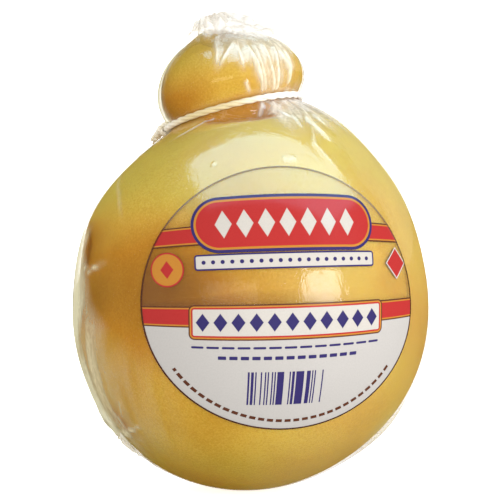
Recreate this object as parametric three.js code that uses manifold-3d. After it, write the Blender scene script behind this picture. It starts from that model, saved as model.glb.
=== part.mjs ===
// A caciocavallo: a pear-shaped stretched-curd cheese with a small head, in a clear film bag. The bag's
// mouth is gathered in a tuft on the crown, a cord ties the bag round the neck, and a rounded label lies on
// the front. Millimetres, +Z up. The origin is the middle of the small flat that the cheese stands on, and
// -Y is the front.

import * as THREE from "three";
import { mergeVertices } from "three/addons/utils/BufferGeometryUtils.js";
import Module from "manifold-3d";

// The body, an egg on a small flat
const BODY_RADIUS = 67.4;
const BODY_HEIGHT = 67.5; // its widest ring above the floor
const FLAT_RADIUS = 9;
const SHOULDER_RISE = 79.3; // from the widest ring up to where the shoulders would close without a neck

// The head, a low dome on a shallow bowl
const HEAD_RADIUS = 28.4;
const HEAD_HEIGHT = 153; // its widest ring above the floor
const HEAD_RISE = 21; // from that ring up to the crown
const HEAD_DROP = 19; // from that ring down to where the head would close without a neck

// The neck, and how the cheese slumps as it stands: the middle bulges to the right, and the head leans to the
// left and back
const NECK_HEIGHT = 142.8;
const NECK_SHARPNESS = 8; // the larger, the tighter the crease between head and shoulders
const BULGE_RIGHT = 2.4;
const NECK_SHIFT_LEFT = 6.7; // from the middle of the bulge
const NECK_SHIFT_BACK = 2;
const NECK_TILT_LEFT = THREE.MathUtils.degToRad(13.9);
const NECK_TILT_BACK = THREE.MathUtils.degToRad(4);
const CROWN_TILT_SHARE = 0.45; // of the neck's tilt that is left at the crown

// Unevenness: a hand-shaped body, and the corner of loose film low on the left
const OUT_OF_ROUND = 0.5;
const OUT_OF_ROUND_TURN = 1; // radians
const CORNER_DEPTH = 2.6;
const CORNER_HEIGHT = 20;
const CORNER_SPREAD = 11;

// The tuft of gathered film on the crown
const TUFT_TILT_LEFT = THREE.MathUtils.degToRad(15);
const TUFT_REACH = THREE.MathUtils.degToRad(50); // from its axis to its rim, as seen from mid-head
const TUFT_RISE = 7.6;
const TUFT_RIM = 0.7;
const TUFT_SPREAD = THREE.MathUtils.degToRad(24);
const TUFT_SPREAD_RIGHT = THREE.MathUtils.degToRad(8); // added towards the right, and taken off on the left
const TUFT_PLEATS = 13;
const TUFT_PLEAT_DEPTH = 0.45; // share of the rise
const TUFT_PLEAT_START = 0.33; // share of the way to the rim where the pleats reach their depth

// The tie cord: one turn round the neck, a hitch at the left and two short ends
const CORD_RADIUS = 1.2;
const HITCH_ANGLE = THREE.MathUtils.degToRad(184); // from +X, by way of +Y
const HITCH_RADIUS = 1.6; // of the middle of the turn that holds the ends
const HITCH_LIFT = 0.6; // clear of the shoulder
const HITCH_OUT = 1; // clear of the head
const CORD_ENDS = [
  { length: 4.8, sideways: -1.6, drop: 2.8 },
  { length: 6, sideways: 4.4, drop: 2.4 },
];

// The label
const LABEL_HALF_WIDTH = 56;
const LABEL_HALF_HEIGHT = 49;
const LABEL_TURN = THREE.MathUtils.degToRad(12.2); // from the front towards the right
const LABEL_TILT_UP = THREE.MathUtils.degToRad(4.5);
const LABEL_THICKNESS = 0.4;

// Clearance between pieces that lie on each other, and the fineness of the facets
const GAP = 0.3;
const BODY_RINGS = 54;
const NECK_RING_SPAN = 3; // on each side of the neck, where the rings lie closer
const NECK_RING_STRETCH = 12; // the larger, the closer they lie there
const BODY_SEGMENTS = 64;
const PATCH_RINGS = 8;
const PATCH_SEGMENTS = 52;
const CORD_STEPS = 72;
const CORD_END_STEPS = 6;
const CORD_SIDES = 8;
const WELD = 1e-4; // points closer than this are one

const CROWN_HEIGHT = HEAD_HEIGHT + HEAD_RISE;
const BODY_DROP = BODY_HEIGHT / Math.sqrt(1 - (FLAT_RADIUS / BODY_RADIUS) ** 2);
const BODY_MIDDLE = new THREE.Vector3(BULGE_RIGHT, 0, BODY_HEIGHT);

const wasm = await Module();
wasm.setup();

// Half the width of a unit circle at a height above or below its middle
function roundness(height) {
  return Math.sqrt(Math.max(0, 1 - height ** 2));
}

// Radius of the bag at a height along its spine: two eggs, head and body, blended where they cross
function radiusAt(height) {
  const fromBody = height - BODY_HEIGHT;
  const fromHead = height - HEAD_HEIGHT;
  const body = BODY_RADIUS * roundness(fromBody / (fromBody < 0 ? BODY_DROP : SHOULDER_RISE));
  const head = HEAD_RADIUS * roundness(fromHead / (fromHead < 0 ? HEAD_DROP : HEAD_RISE));
  return (body ** NECK_SHARPNESS + head ** NECK_SHARPNESS) ** (1 / NECK_SHARPNESS);
}

// Where the ring at a height stands: upright below the widest ring, then leaning more up to the neck
function ringFrame(height) {
  const below = Math.max(0, 1 - height / BODY_HEIGHT);
  const climb = Math.max(0, (height - BODY_HEIGHT) / (NECK_HEIGHT - BODY_HEIGHT));
  const past = Math.max(0, (height - NECK_HEIGHT) / (CROWN_HEIGHT - NECK_HEIGHT));
  const bulge = BULGE_RIGHT * (1 - below ** 2);
  const shift = climb < 1 ? climb ** 2 : climb;
  const tilt = Math.min(1, climb ** 2) * (1 - (1 - CROWN_TILT_SHARE) * past);
  return new THREE.Matrix4()
    .makeRotationFromEuler(new THREE.Euler(-tilt * NECK_TILT_BACK, -tilt * NECK_TILT_LEFT, 0))
    .setPosition(bulge - shift * NECK_SHIFT_LEFT, shift * NECK_SHIFT_BACK, height);
}

// How far the bag stands out from its round form
function unevenness(height, angle) {
  const aside = radiusAt(height) * Math.abs(Math.PI - angle);
  const fromCorner = ((height - CORNER_HEIGHT) ** 2 + aside ** 2) / CORNER_SPREAD ** 2;
  const oval = OUT_OF_ROUND * Math.sin((Math.PI * height) / CROWN_HEIGHT);
  return CORNER_DEPTH * Math.exp(-fromCorner) + oval * Math.sin(2 * angle + OUT_OF_ROUND_TURN);
}

// A point of a ring, so far out from the bag
function ringPoint(height, angle, outwards = 0) {
  const reach = radiusAt(height) + unevenness(height, angle) + outwards;
  const flat = new THREE.Vector3(reach * Math.cos(angle), reach * Math.sin(angle), 0);
  return flat.applyMatrix4(ringFrame(height));
}

// The half outline of the bag, as radius and height along the spine. The third number makes it longer near
// the neck, so that evenly spaced rings lie closer there.
class BagOutline extends THREE.Curve {
  getPoint(share, target = new THREE.Vector3()) {
    const height = (CROWN_HEIGHT * (1 - Math.cos(Math.PI * share))) / 2;
    const stretch = NECK_RING_STRETCH * Math.atan((height - NECK_HEIGHT) / NECK_RING_SPAN);
    return target.set(radiusAt(height), height, stretch);
  }
}

// A closed skin through rings of points, all of one count, with a point to close each end
function loft(firstPoint, rings, lastPoint) {
  const points = [firstPoint, ...rings.flat(), lastPoint];
  const count = rings[0].length;
  const last = rings.length - 1;
  const at = (ring, i) => 1 + ring * count + (i % count);
  const triangles = [];
  for (let i = 0; i < count; i++) {
    triangles.push(0, at(0, i + 1), at(0, i));
    for (let ring = 0; ring < last; ring++) {
      triangles.push(at(ring, i), at(ring, i + 1), at(ring + 1, i));
      triangles.push(at(ring, i + 1), at(ring + 1, i + 1), at(ring + 1, i));
    }
    triangles.push(points.length - 1, at(last, i), at(last, i + 1));
  }
  const geometry = new THREE.BufferGeometry().setFromPoints(points).setIndex(triangles);
  geometry.computeVertexNormals();
  return geometry;
}

function turns(count) {
  return Array.from({ length: count }, (_, i) => (2 * Math.PI * i) / count);
}

// The film bag with the cheese in it, one solid out to the film
function baggedCheese() {
  const outline = new BagOutline();
  outline.arcLengthDivisions = 1000;
  const heights = outline.getSpacedPoints(BODY_RINGS).map((point) => point.y);
  const ringOf = (height) => turns(BODY_SEGMENTS).map((angle) => ringPoint(height, angle));
  const rings = heights.slice(0, -1).map(ringOf);
  const crown = new THREE.Vector3().applyMatrix4(ringFrame(CROWN_HEIGHT));
  return loft(new THREE.Vector3(), rings, crown);
}

// A thin solid laid on the bag. From a middle point inside, directionAt gives the way out to the patch, and
// thicknessAt how thick it is there, both by the share of the way to its rim and the angle round it.
function patchOn(bag, middle, directionAt, thicknessAt) {
  const ray = new THREE.Raycaster();
  const outside = 4 * BODY_RADIUS;
  const pointAt = (share, angle, outwards) => {
    const way = directionAt(share, angle);
    ray.set(way.clone().multiplyScalar(outside).add(middle), way.clone().negate());
    return ray.intersectObject(bag)[0].point.addScaledVector(way, outwards);
  };
  const under = () => GAP;
  const over = (share, angle) => GAP + thicknessAt(share, angle);
  const ringOf = (share, height) =>
    turns(PATCH_SEGMENTS).map((angle) => pointAt(share, angle, height(share, angle)));
  const shares = Array.from({ length: PATCH_RINGS }, (_, i) => (i + 1) / PATCH_RINGS);
  const rings = [
    ...shares.map((share) => ringOf(share, under)),
    ...shares.toReversed().map((share) => ringOf(share, over)),
  ];
  return loft(pointAt(0, 0, under(0, 0)), rings, pointAt(0, 0, over(0, 0)));
}

// The direction that lies at a polar angle from an axis, at an angle round it from side towards up
function aroundAxis(axis, side, up, polar, angle) {
  const sideways = side.clone().multiplyScalar(Math.cos(angle)).addScaledVector(up, Math.sin(angle));
  return axis.clone().multiplyScalar(Math.cos(polar)).addScaledVector(sideways, Math.sin(polar));
}

// The label, an oval measured along the bag's surface
function label(bag) {
  const turned = new THREE.Euler(-LABEL_TILT_UP, 0, LABEL_TURN, "ZXY");
  const out = new THREE.Vector3(0, -1, 0).applyEuler(turned);
  const side = new THREE.Vector3(1, 0, 0).applyEuler(turned);
  const up = new THREE.Vector3(0, 0, 1).applyEuler(turned);
  const directionAt = (share, angle) => {
    const across = LABEL_HALF_WIDTH * Math.cos(angle);
    const upwards = LABEL_HALF_HEIGHT * Math.sin(angle);
    const polar = (share * Math.hypot(across, upwards)) / BODY_RADIUS;
    return aroundAxis(out, side, up, polar, Math.atan2(upwards, across));
  };
  return patchOn(bag, BODY_MIDDLE, directionAt, () => LABEL_THICKNESS);
}

// The gathered mouth of the bag: a crest that falls away into pleats
function filmTuft(bag) {
  const middle = new THREE.Vector3().applyMatrix4(ringFrame(HEAD_HEIGHT));
  const turned = new THREE.Euler(0, -TUFT_TILT_LEFT, 0);
  const axis = new THREE.Vector3(0, 0, 1).applyEuler(turned);
  const side = new THREE.Vector3(1, 0, 0).applyEuler(turned);
  const back = new THREE.Vector3(0, 1, 0);
  const directionAt = (share, angle) => aroundAxis(axis, side, back, share * TUFT_REACH, angle);
  const thicknessAt = (share, angle) => {
    const spread = TUFT_SPREAD + TUFT_SPREAD_RIGHT * Math.cos(angle);
    const crest = TUFT_RISE * Math.exp(-(((share * TUFT_REACH) / spread) ** 2));
    const fold = 0.5 - 0.5 * Math.cos(TUFT_PLEATS * angle + Math.sin(3 * angle));
    return TUFT_RIM + crest * (1 - TUFT_PLEAT_DEPTH * fold * Math.min(1, share / TUFT_PLEAT_START));
  };
  return patchOn(bag, middle, directionAt, thicknessAt);
}

// A closed mesh as a manifold solid, and back
function asSolid(geometry) {
  const bare = geometry.clone();
  bare.deleteAttribute("normal");
  bare.deleteAttribute("uv");
  const merged = mergeVertices(bare, WELD);
  const vertProperties = new Float32Array(merged.attributes.position.array);
  const triVerts = new Uint32Array(merged.index.array);
  return new wasm.Manifold(new wasm.Mesh({ numProp: 3, vertProperties, triVerts }));
}

function asGeometry(solid) {
  const mesh = solid.getMesh();
  const geometry = new THREE.BufferGeometry()
    .setAttribute("position", new THREE.BufferAttribute(mesh.vertProperties, 3))
    .setIndex(new THREE.BufferAttribute(mesh.triVerts, 1));
  geometry.computeVertexNormals();
  return geometry;
}

// The middle line of the cord round the neck
class NeckLoop extends THREE.Curve {
  getPoint(share, target = new THREE.Vector3()) {
    return target.copy(ringPoint(NECK_HEIGHT, 2 * Math.PI * share, GAP + CORD_RADIUS));
  }
}

// One short end of the cord, from the hitch out over the shoulder
function cordEnd(end) {
  const frame = ringFrame(NECK_HEIGHT).multiply(new THREE.Matrix4().makeRotationZ(HITCH_ANGLE));
  const start = radiusAt(NECK_HEIGHT) + GAP + 2 * CORD_RADIUS;
  const path = new THREE.QuadraticBezierCurve3(
    new THREE.Vector3(start - CORD_RADIUS, 0, 0),
    new THREE.Vector3(start + end.length / 2, end.sideways / 3, 0),
    new THREE.Vector3(start + end.length, end.sideways, -end.drop),
  );
  const section = new THREE.Shape().absarc(0, 0, CORD_RADIUS, 0, 2 * Math.PI, false);
  const options = {
    steps: CORD_END_STEPS,
    curveSegments: CORD_SIDES / 2,
    extrudePath: path,
    bevelEnabled: false,
  };
  return new THREE.ExtrudeGeometry(section, options).applyMatrix4(frame);
}

// The tie cord: the loop, the turn that holds its ends, and the ends
function neckCord() {
  const loop = new THREE.TubeGeometry(new NeckLoop(), CORD_STEPS, CORD_RADIUS, CORD_SIDES, true);
  const hitchPlace = radiusAt(NECK_HEIGHT) + CORD_RADIUS + HITCH_RADIUS + HITCH_OUT;
  const hitch = new THREE.TorusGeometry(HITCH_RADIUS, CORD_RADIUS, CORD_SIDES, 2 * CORD_SIDES)
    .rotateX(Math.PI / 2)
    .translate(hitchPlace, 0, HITCH_LIFT)
    .rotateZ(HITCH_ANGLE)
    .applyMatrix4(ringFrame(NECK_HEIGHT));
  const pieces = [loop, hitch, ...CORD_ENDS.map(cordEnd)].map(asSolid);
  return asGeometry(pieces.reduce((whole, piece) => whole.add(piece)));
}

function finish(color, roughness, opacity = 1) {
  const transparent = opacity < 1;
  return new THREE.MeshStandardMaterial({ color, roughness, metalness: 0, opacity, transparent });
}

function named(name, geometry, material) {
  const mesh = new THREE.Mesh(geometry, material);
  mesh.name = name;
  return mesh;
}

const bag = named("bagged_cheese", baggedCheese(), finish(0xd6ab4c, 0.3));
const caciocavallo = new THREE.Group();
caciocavallo.add(
  bag,
  named("film_tuft", filmTuft(bag), finish(0xf2ebdf, 0.2, 0.7)),
  named("neck_cord", neckCord(), finish(0xf0e9d8, 0.8)),
  named("label", label(bag), finish(0xe4d6bd, 0.35)),
);

export default caciocavallo;
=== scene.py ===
"""Looks of a caciocavallo: a pear-shaped cheese in a clear film bag, tied with a cord and labelled.

Metres, +Z up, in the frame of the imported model: the origin is the middle of the small flat that the
cheese stands on, and -Y is the front.
"""

import logging
import math
from dataclasses import dataclass
from enum import Enum
from functools import cache
from typing import Optional, Sequence, Union

import bpy
import numpy as np
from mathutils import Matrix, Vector
from mathutils.bvhtree import BVHTree


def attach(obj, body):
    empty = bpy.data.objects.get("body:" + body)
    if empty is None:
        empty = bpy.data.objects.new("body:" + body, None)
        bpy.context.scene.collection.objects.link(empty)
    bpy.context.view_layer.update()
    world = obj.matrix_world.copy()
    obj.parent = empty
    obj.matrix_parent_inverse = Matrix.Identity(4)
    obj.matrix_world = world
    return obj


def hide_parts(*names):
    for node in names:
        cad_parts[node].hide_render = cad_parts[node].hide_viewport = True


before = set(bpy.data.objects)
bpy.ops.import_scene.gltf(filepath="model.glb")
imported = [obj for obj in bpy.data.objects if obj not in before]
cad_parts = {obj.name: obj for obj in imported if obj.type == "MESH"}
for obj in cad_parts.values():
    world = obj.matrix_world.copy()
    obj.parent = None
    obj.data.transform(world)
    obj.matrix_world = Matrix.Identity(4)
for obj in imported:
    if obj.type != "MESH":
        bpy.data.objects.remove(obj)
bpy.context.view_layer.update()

LOG = logging.getLogger("caciocavallo")
BODY = "root"
TAU = 2.0 * math.pi
MILLIMETRE = 0.001
EDGE_TURN = math.radians(6.0)
BEHIND_TURN = math.radians(-15.0)
RIPPLE_LENGTHS = (0.7, 1.5)
NOISE_RANGE = (0.3, 0.7)
WHITE = (1.0, 1.0, 1.0, 1.0)
FLOAT = "NodeSocketFloat"
VECTOR = "NodeSocketVector"
COLOUR = "NodeSocketColor"

Array = np.ndarray
Pair = tuple[float, float]
Triple = tuple[float, float, float]
Ramp = tuple[float, float, float, float]
Colour = Triple
Faces = list[tuple[int, ...]]
Piece = bpy.types.Object
Tree = bpy.types.NodeTree
Socket = bpy.types.NodeSocket
Feed = Union[Socket, float, Sequence[float]]


class Node(Enum):
    """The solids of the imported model."""

    BAG = "bagged_cheese"
    TUFT = "film_tuft"
    CORD = "neck_cord"
    LABEL = "label"


class Slot(Enum):
    """The record's material slots."""

    CHEESE = "cheese"
    FILM = "film"
    CORD = "cord"
    LABEL = "label"


class Layer(Enum):
    """The names under which meshes carry values to their materials."""

    # Whiteness of the film: real folds and gathers, plus painted sheen, glints and edge reflection.
    HAZE_AND_SHEEN = "haze"
    # Tone with painted shade on rind and cord, and painted cheese-coloured light in the film's veil.
    TINT_AND_SHADE = "ripe"
    PRINT = "print"


def smooth_step(low: float, high: float, values: Array) -> Array:
    """Rises smoothly from 0 at low to 1 at high, or falls where low lies above high."""
    share = np.clip((values - low) / (high - low), 0.0, 1.0)
    return share * share * (3.0 - 2.0 * share)


def plateau(corners: Ramp, values: Array) -> Array:
    """Rises smoothly from 0 to 1 between the first two corners, and falls again between the last two."""
    start, full, fade, end = corners
    return smooth_step(start, full, values) * smooth_step(end, fade, values)


def bell(shares: Array) -> Array:
    """Falls from 1 at a share of 0 towards 0 on both sides."""
    return np.exp(-(shares**2))


def unit(rows: Array) -> Array:
    """Vectors of length 1, along the last axis."""
    return rows / np.linalg.norm(rows, axis=-1, keepdims=True)


def ripples(points: Array, wavelength: float, seed: int, waves: int = 14) -> Array:
    """Smooth seeded unevenness in space, of about unit size.

    Args:
        points: Places, with their coordinates on the last axis.
        wavelength: About how far apart the humps lie.
        seed: Seeds the draw of the waves.
        waves: How many plane waves are added up.

    Returns:
        One number for each place.
    """
    draw = np.random.default_rng(seed)
    ways = unit(draw.normal(size=(waves, 3)))
    lengths = wavelength * draw.uniform(*RIPPLE_LENGTHS, waves)
    phases = draw.uniform(0.0, TAU, waves)
    turns = points @ (ways / lengths[:, None]).T * TAU + phases
    return np.sin(turns).sum(axis=-1) * math.sqrt(2.0 / waves)


def turn_between(angles: Array, middle: Union[float, Array]) -> Array:
    """The shortest turn from middle to each angle, in radians."""
    return (angles - middle + math.pi) % TAU - math.pi


@dataclass(frozen=True)
class PearForm:
    """The outer form of the filled bag: an egg-shaped body, a neck and a small leaning head."""

    body_radius: float = 0.0674
    body_height: float = 0.0675
    flat_radius: float = 0.009
    shoulder_rise: float = 0.0793
    head_radius: float = 0.0284
    head_height: float = 0.153
    head_rise: float = 0.021
    head_drop: float = 0.019
    full_rise: float = 0.0011
    full_height: float = 0.110
    full_spread: float = 0.018
    neck_height: float = 0.1428
    neck_sharpness: float = 8.0
    bulge_right: float = 0.0024
    neck_shift_left: float = 0.0067
    neck_shift_back: float = 0.002
    neck_tilt_left: float = math.radians(13.9)
    neck_tilt_back: float = math.radians(4.0)
    crown_tilt_share: float = 0.45
    out_of_round: float = 0.0005
    oval_turn: float = 1.0
    nub_place: Triple = (-0.0140, -0.0030, 0.1720)
    nub_rise: float = 0.0018
    nub_spread: float = 0.0060
    arc_steps: int = 2000
    spacing_steps: int = 4000

    @property
    def crown_height(self) -> float:
        """Height of the crown along the spine."""
        return self.head_height + self.head_rise

    @property
    def body_middle(self) -> Array:
        """The middle of the widest ring."""
        return np.array([self.bulge_right, 0.0, self.body_height])

    @property
    def head_middle(self) -> Array:
        """The middle of the head's widest ring."""
        return self.ring_frames(np.array([self.head_height]))[0][0]

    def nub(self, points: Array) -> Array:
        """How far the crown's small nub, left of its middle, stands out at each point."""
        far = np.linalg.norm(points - np.array(self.nub_place), axis=-1)
        return self.nub_rise * bell(far / self.nub_spread)

    def radius(self, heights: Array) -> Array:
        """Radius of the rings: two eggs, head and body, blended where they cross.

        Args:
            heights: Heights along the spine.

        Returns:
            One radius for each height.
        """
        body_drop = self.body_height / math.sqrt(1.0 - (self.flat_radius / self.body_radius) ** 2)
        from_body = heights - self.body_height
        from_head = heights - self.head_height
        body_share = from_body / np.where(from_body < 0.0, body_drop, self.shoulder_rise)
        head_share = from_head / np.where(from_head < 0.0, self.head_drop, self.head_rise)
        body = self.body_radius * np.sqrt(np.clip(1.0 - body_share**2, 0.0, None))
        head = self.head_radius * np.sqrt(np.clip(1.0 - head_share**2, 0.0, None))
        power = self.neck_sharpness
        full = self.full_rise * bell((heights - self.full_height) / self.full_spread)
        return (body**power + head**power) ** (1.0 / power) + full

    def ring_frames(self, heights: Array) -> tuple[Array, Array, Array]:
        """Where the rings stand: upright below the widest one, then leaning more up to the neck.

        Args:
            heights: Heights along the spine.

        Returns:
            The rings' middles, and their directions to the right and to the back.
        """
        below = np.clip(1.0 - heights / self.body_height, 0.0, None)
        climb = np.clip((heights - self.body_height) / (self.neck_height - self.body_height), 0.0, None)
        past = np.clip((heights - self.neck_height) / (self.crown_height - self.neck_height), 0.0, None)
        bulge = self.bulge_right * (1.0 - below**2)
        shift = np.where(climb < 1.0, climb**2, climb)
        tilt = np.minimum(1.0, climb**2) * (1.0 - (1.0 - self.crown_tilt_share) * past)
        left = tilt * self.neck_tilt_left
        back = tilt * self.neck_tilt_back
        middles = np.stack(
            [bulge - shift * self.neck_shift_left, shift * self.neck_shift_back, heights], axis=-1
        )
        to_right = np.stack(
            [np.cos(left), np.sin(left) * np.sin(back), np.sin(left) * np.cos(back)], axis=-1
        )
        to_back = np.stack([np.zeros_like(back), np.cos(back), -np.sin(back)], axis=-1)
        return middles, to_right, to_back

    def points(self, heights: Array, angles: Array, outwards: Union[float, Array] = 0.0) -> Array:
        """Points on the form.

        Args:
            heights: Heights along the spine.
            angles: Angles from the right, by way of the back.
            outwards: How far the points lie out of their rings.

        Returns:
            A grid of points, one row for each height.
        """
        middles, to_right, to_back = self.ring_frames(heights)
        oval = self.out_of_round * np.sin(math.pi * heights / self.crown_height)
        bulges = oval[:, None] * np.sin(2.0 * angles + self.oval_turn)
        reach = self.radius(heights)[:, None] + bulges + outwards
        across = (reach * np.cos(angles))[..., None] * to_right[:, None, :]
        along = (reach * np.sin(angles))[..., None] * to_back[:, None, :]
        return middles[:, None, :] + across + along

    def arcs(self, heights: Array) -> Array:
        """Lengths along the outline, from the flat upwards.

        Args:
            heights: Heights along the spine.

        Returns:
            One length for each height.
        """
        fine = np.linspace(0.0, self.crown_height, self.arc_steps)
        steps = np.hypot(np.diff(fine), np.diff(self.radius(fine)))
        return np.interp(heights, fine, np.concatenate([[0.0], np.cumsum(steps)]))

    def spaced_heights(self, count: int, neck_stretch: float) -> Array:
        """Heights that are spaced evenly along the outline, and closer at neck and head.

        Args:
            count: How many rings.
            neck_stretch: The larger, the closer the rings lie above the shoulders.

        Returns:
            Heights from the flat to just under the crown.
        """
        fine = self.crown_height * (1.0 - np.cos(np.linspace(0.0, math.pi, self.spacing_steps))) / 2.0
        steps = np.hypot(np.diff(fine), np.diff(self.radius(fine)))
        middles = (fine[1:] + fine[:-1]) / 2.0
        shoulder = self.neck_height - 0.5 * self.head_radius
        steps *= 1.0 + neck_stretch * smooth_step(shoulder - self.head_radius, shoulder, middles)
        length = np.concatenate([[0.0], np.cumsum(steps)])
        return np.interp(np.linspace(0.0, length[-1], count + 1)[:-1], length, fine)


class MeshMaker:
    """Makes mesh objects from arrays of points."""

    @staticmethod
    def sheet_faces(rows: int, columns: int, start: int = 0, closed: bool = False) -> Array:
        """Quads of a sheet of points.

        Args:
            rows: Rows of points.
            columns: Points in each row.
            start: Index of the first point.
            closed: Whether each row is a ring.

        Returns:
            One row of four indices for each face.
        """
        row = np.arange(rows - 1)[:, None] * columns + start
        here = np.arange(columns if closed else columns - 1)[None, :]
        there = (here + 1) % columns
        quads = [row + here, row + there, row + columns + there, row + columns + here]
        return np.stack(quads, axis=-1).reshape(-1, 4)

    @classmethod
    def closed_loft(cls, name: str, grid: Array, first: Array, last: Array) -> Piece:
        """A smooth closed skin through rings of points.

        Args:
            name: The piece's name.
            grid: Rings of points.
            first: The point that closes the first ring.
            last: The point that closes the last ring.

        Returns:
            The new object.
        """
        rings, count = grid.shape[:2]
        points = np.concatenate([grid.reshape(-1, 3), [first], [last]])
        faces = cls.sheet_faces(rings, count, closed=True).tolist()
        top = (rings - 1) * count
        ends = rings * count
        sides = [(here, (here + 1) % count) for here in range(count)]
        faces += [(ends, there, here) for here, there in sides]
        faces += [(ends + 1, top + here, top + there) for here, there in sides]
        return cls.object(name, points, faces)

    @staticmethod
    def object(name: str, points: Array, faces: Faces) -> Piece:
        """A smooth mesh object in the scene.

        Args:
            name: The piece's name.
            points: Its points.
            faces: Indices of each face's points.

        Returns:
            The new object.
        """
        mesh = bpy.data.meshes.new(name)
        mesh.from_pydata(points.tolist(), [], faces)
        mesh.validate()
        mesh.shade_smooth()
        made = bpy.data.objects.new(name, mesh)
        bpy.context.scene.collection.objects.link(made)
        return made

    @staticmethod
    def vectors(found: bpy.types.bpy_prop_collection, name: str) -> Array:
        """Reads a vector from each of a mesh's items.

        Args:
            found: The items.
            name: What the vector is called there.

        Returns:
            One row for each item.
        """
        flat = np.empty(len(found) * 3)
        found.foreach_get(name, flat)
        return flat.reshape(-1, 3)

    @classmethod
    def positions(cls, piece: Piece) -> Array:
        """The points of a piece's mesh."""
        return cls.vectors(piece.data.vertices, "co")

    @classmethod
    def normals(cls, piece: Piece) -> Array:
        """The normals at the points of a piece's mesh."""
        return cls.vectors(piece.data.vertex_normals, "vector")

    @staticmethod
    def with_ends(grid: Array, first: float = 0.0, last: float = 0.0) -> Array:
        """The values of a closed loft's rings, followed by those of its two closing points."""
        return np.concatenate([grid.ravel(), [first, last]])

    @staticmethod
    def push_out(piece: Piece, distances: Array) -> None:
        """Moves each point of a piece along its normal.

        Args:
            piece: The piece to change.
            distances: How far each point moves. Negative is inwards.
        """
        moved = MeshMaker.positions(piece) + MeshMaker.normals(piece) * distances[:, None]
        piece.data.vertices.foreach_set("co", moved.ravel())
        piece.data.update()

    @staticmethod
    def carry(piece: Piece, layer: Layer, values: Array) -> None:
        """Stores one number for each point of a piece, for its material to read."""
        attribute = piece.data.attributes.new(layer.value, "FLOAT", "POINT")
        attribute.data.foreach_set("value", values.astype(np.float32))

    @staticmethod
    def carry_flat(piece: Piece, layer: Layer, places: Array) -> None:
        """Stores flat coordinates for each point as a map, for the material to read.

        Args:
            piece: The piece to mark.
            layer: The name of the map.
            places: Two numbers for each point.
        """
        corners = np.empty(len(piece.data.loops), dtype=np.int32)
        piece.data.loops.foreach_get("vertex_index", corners)
        flat = piece.data.uv_layers.new(name=layer.value)
        flat.data.foreach_set("uv", places[corners].ravel())


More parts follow.
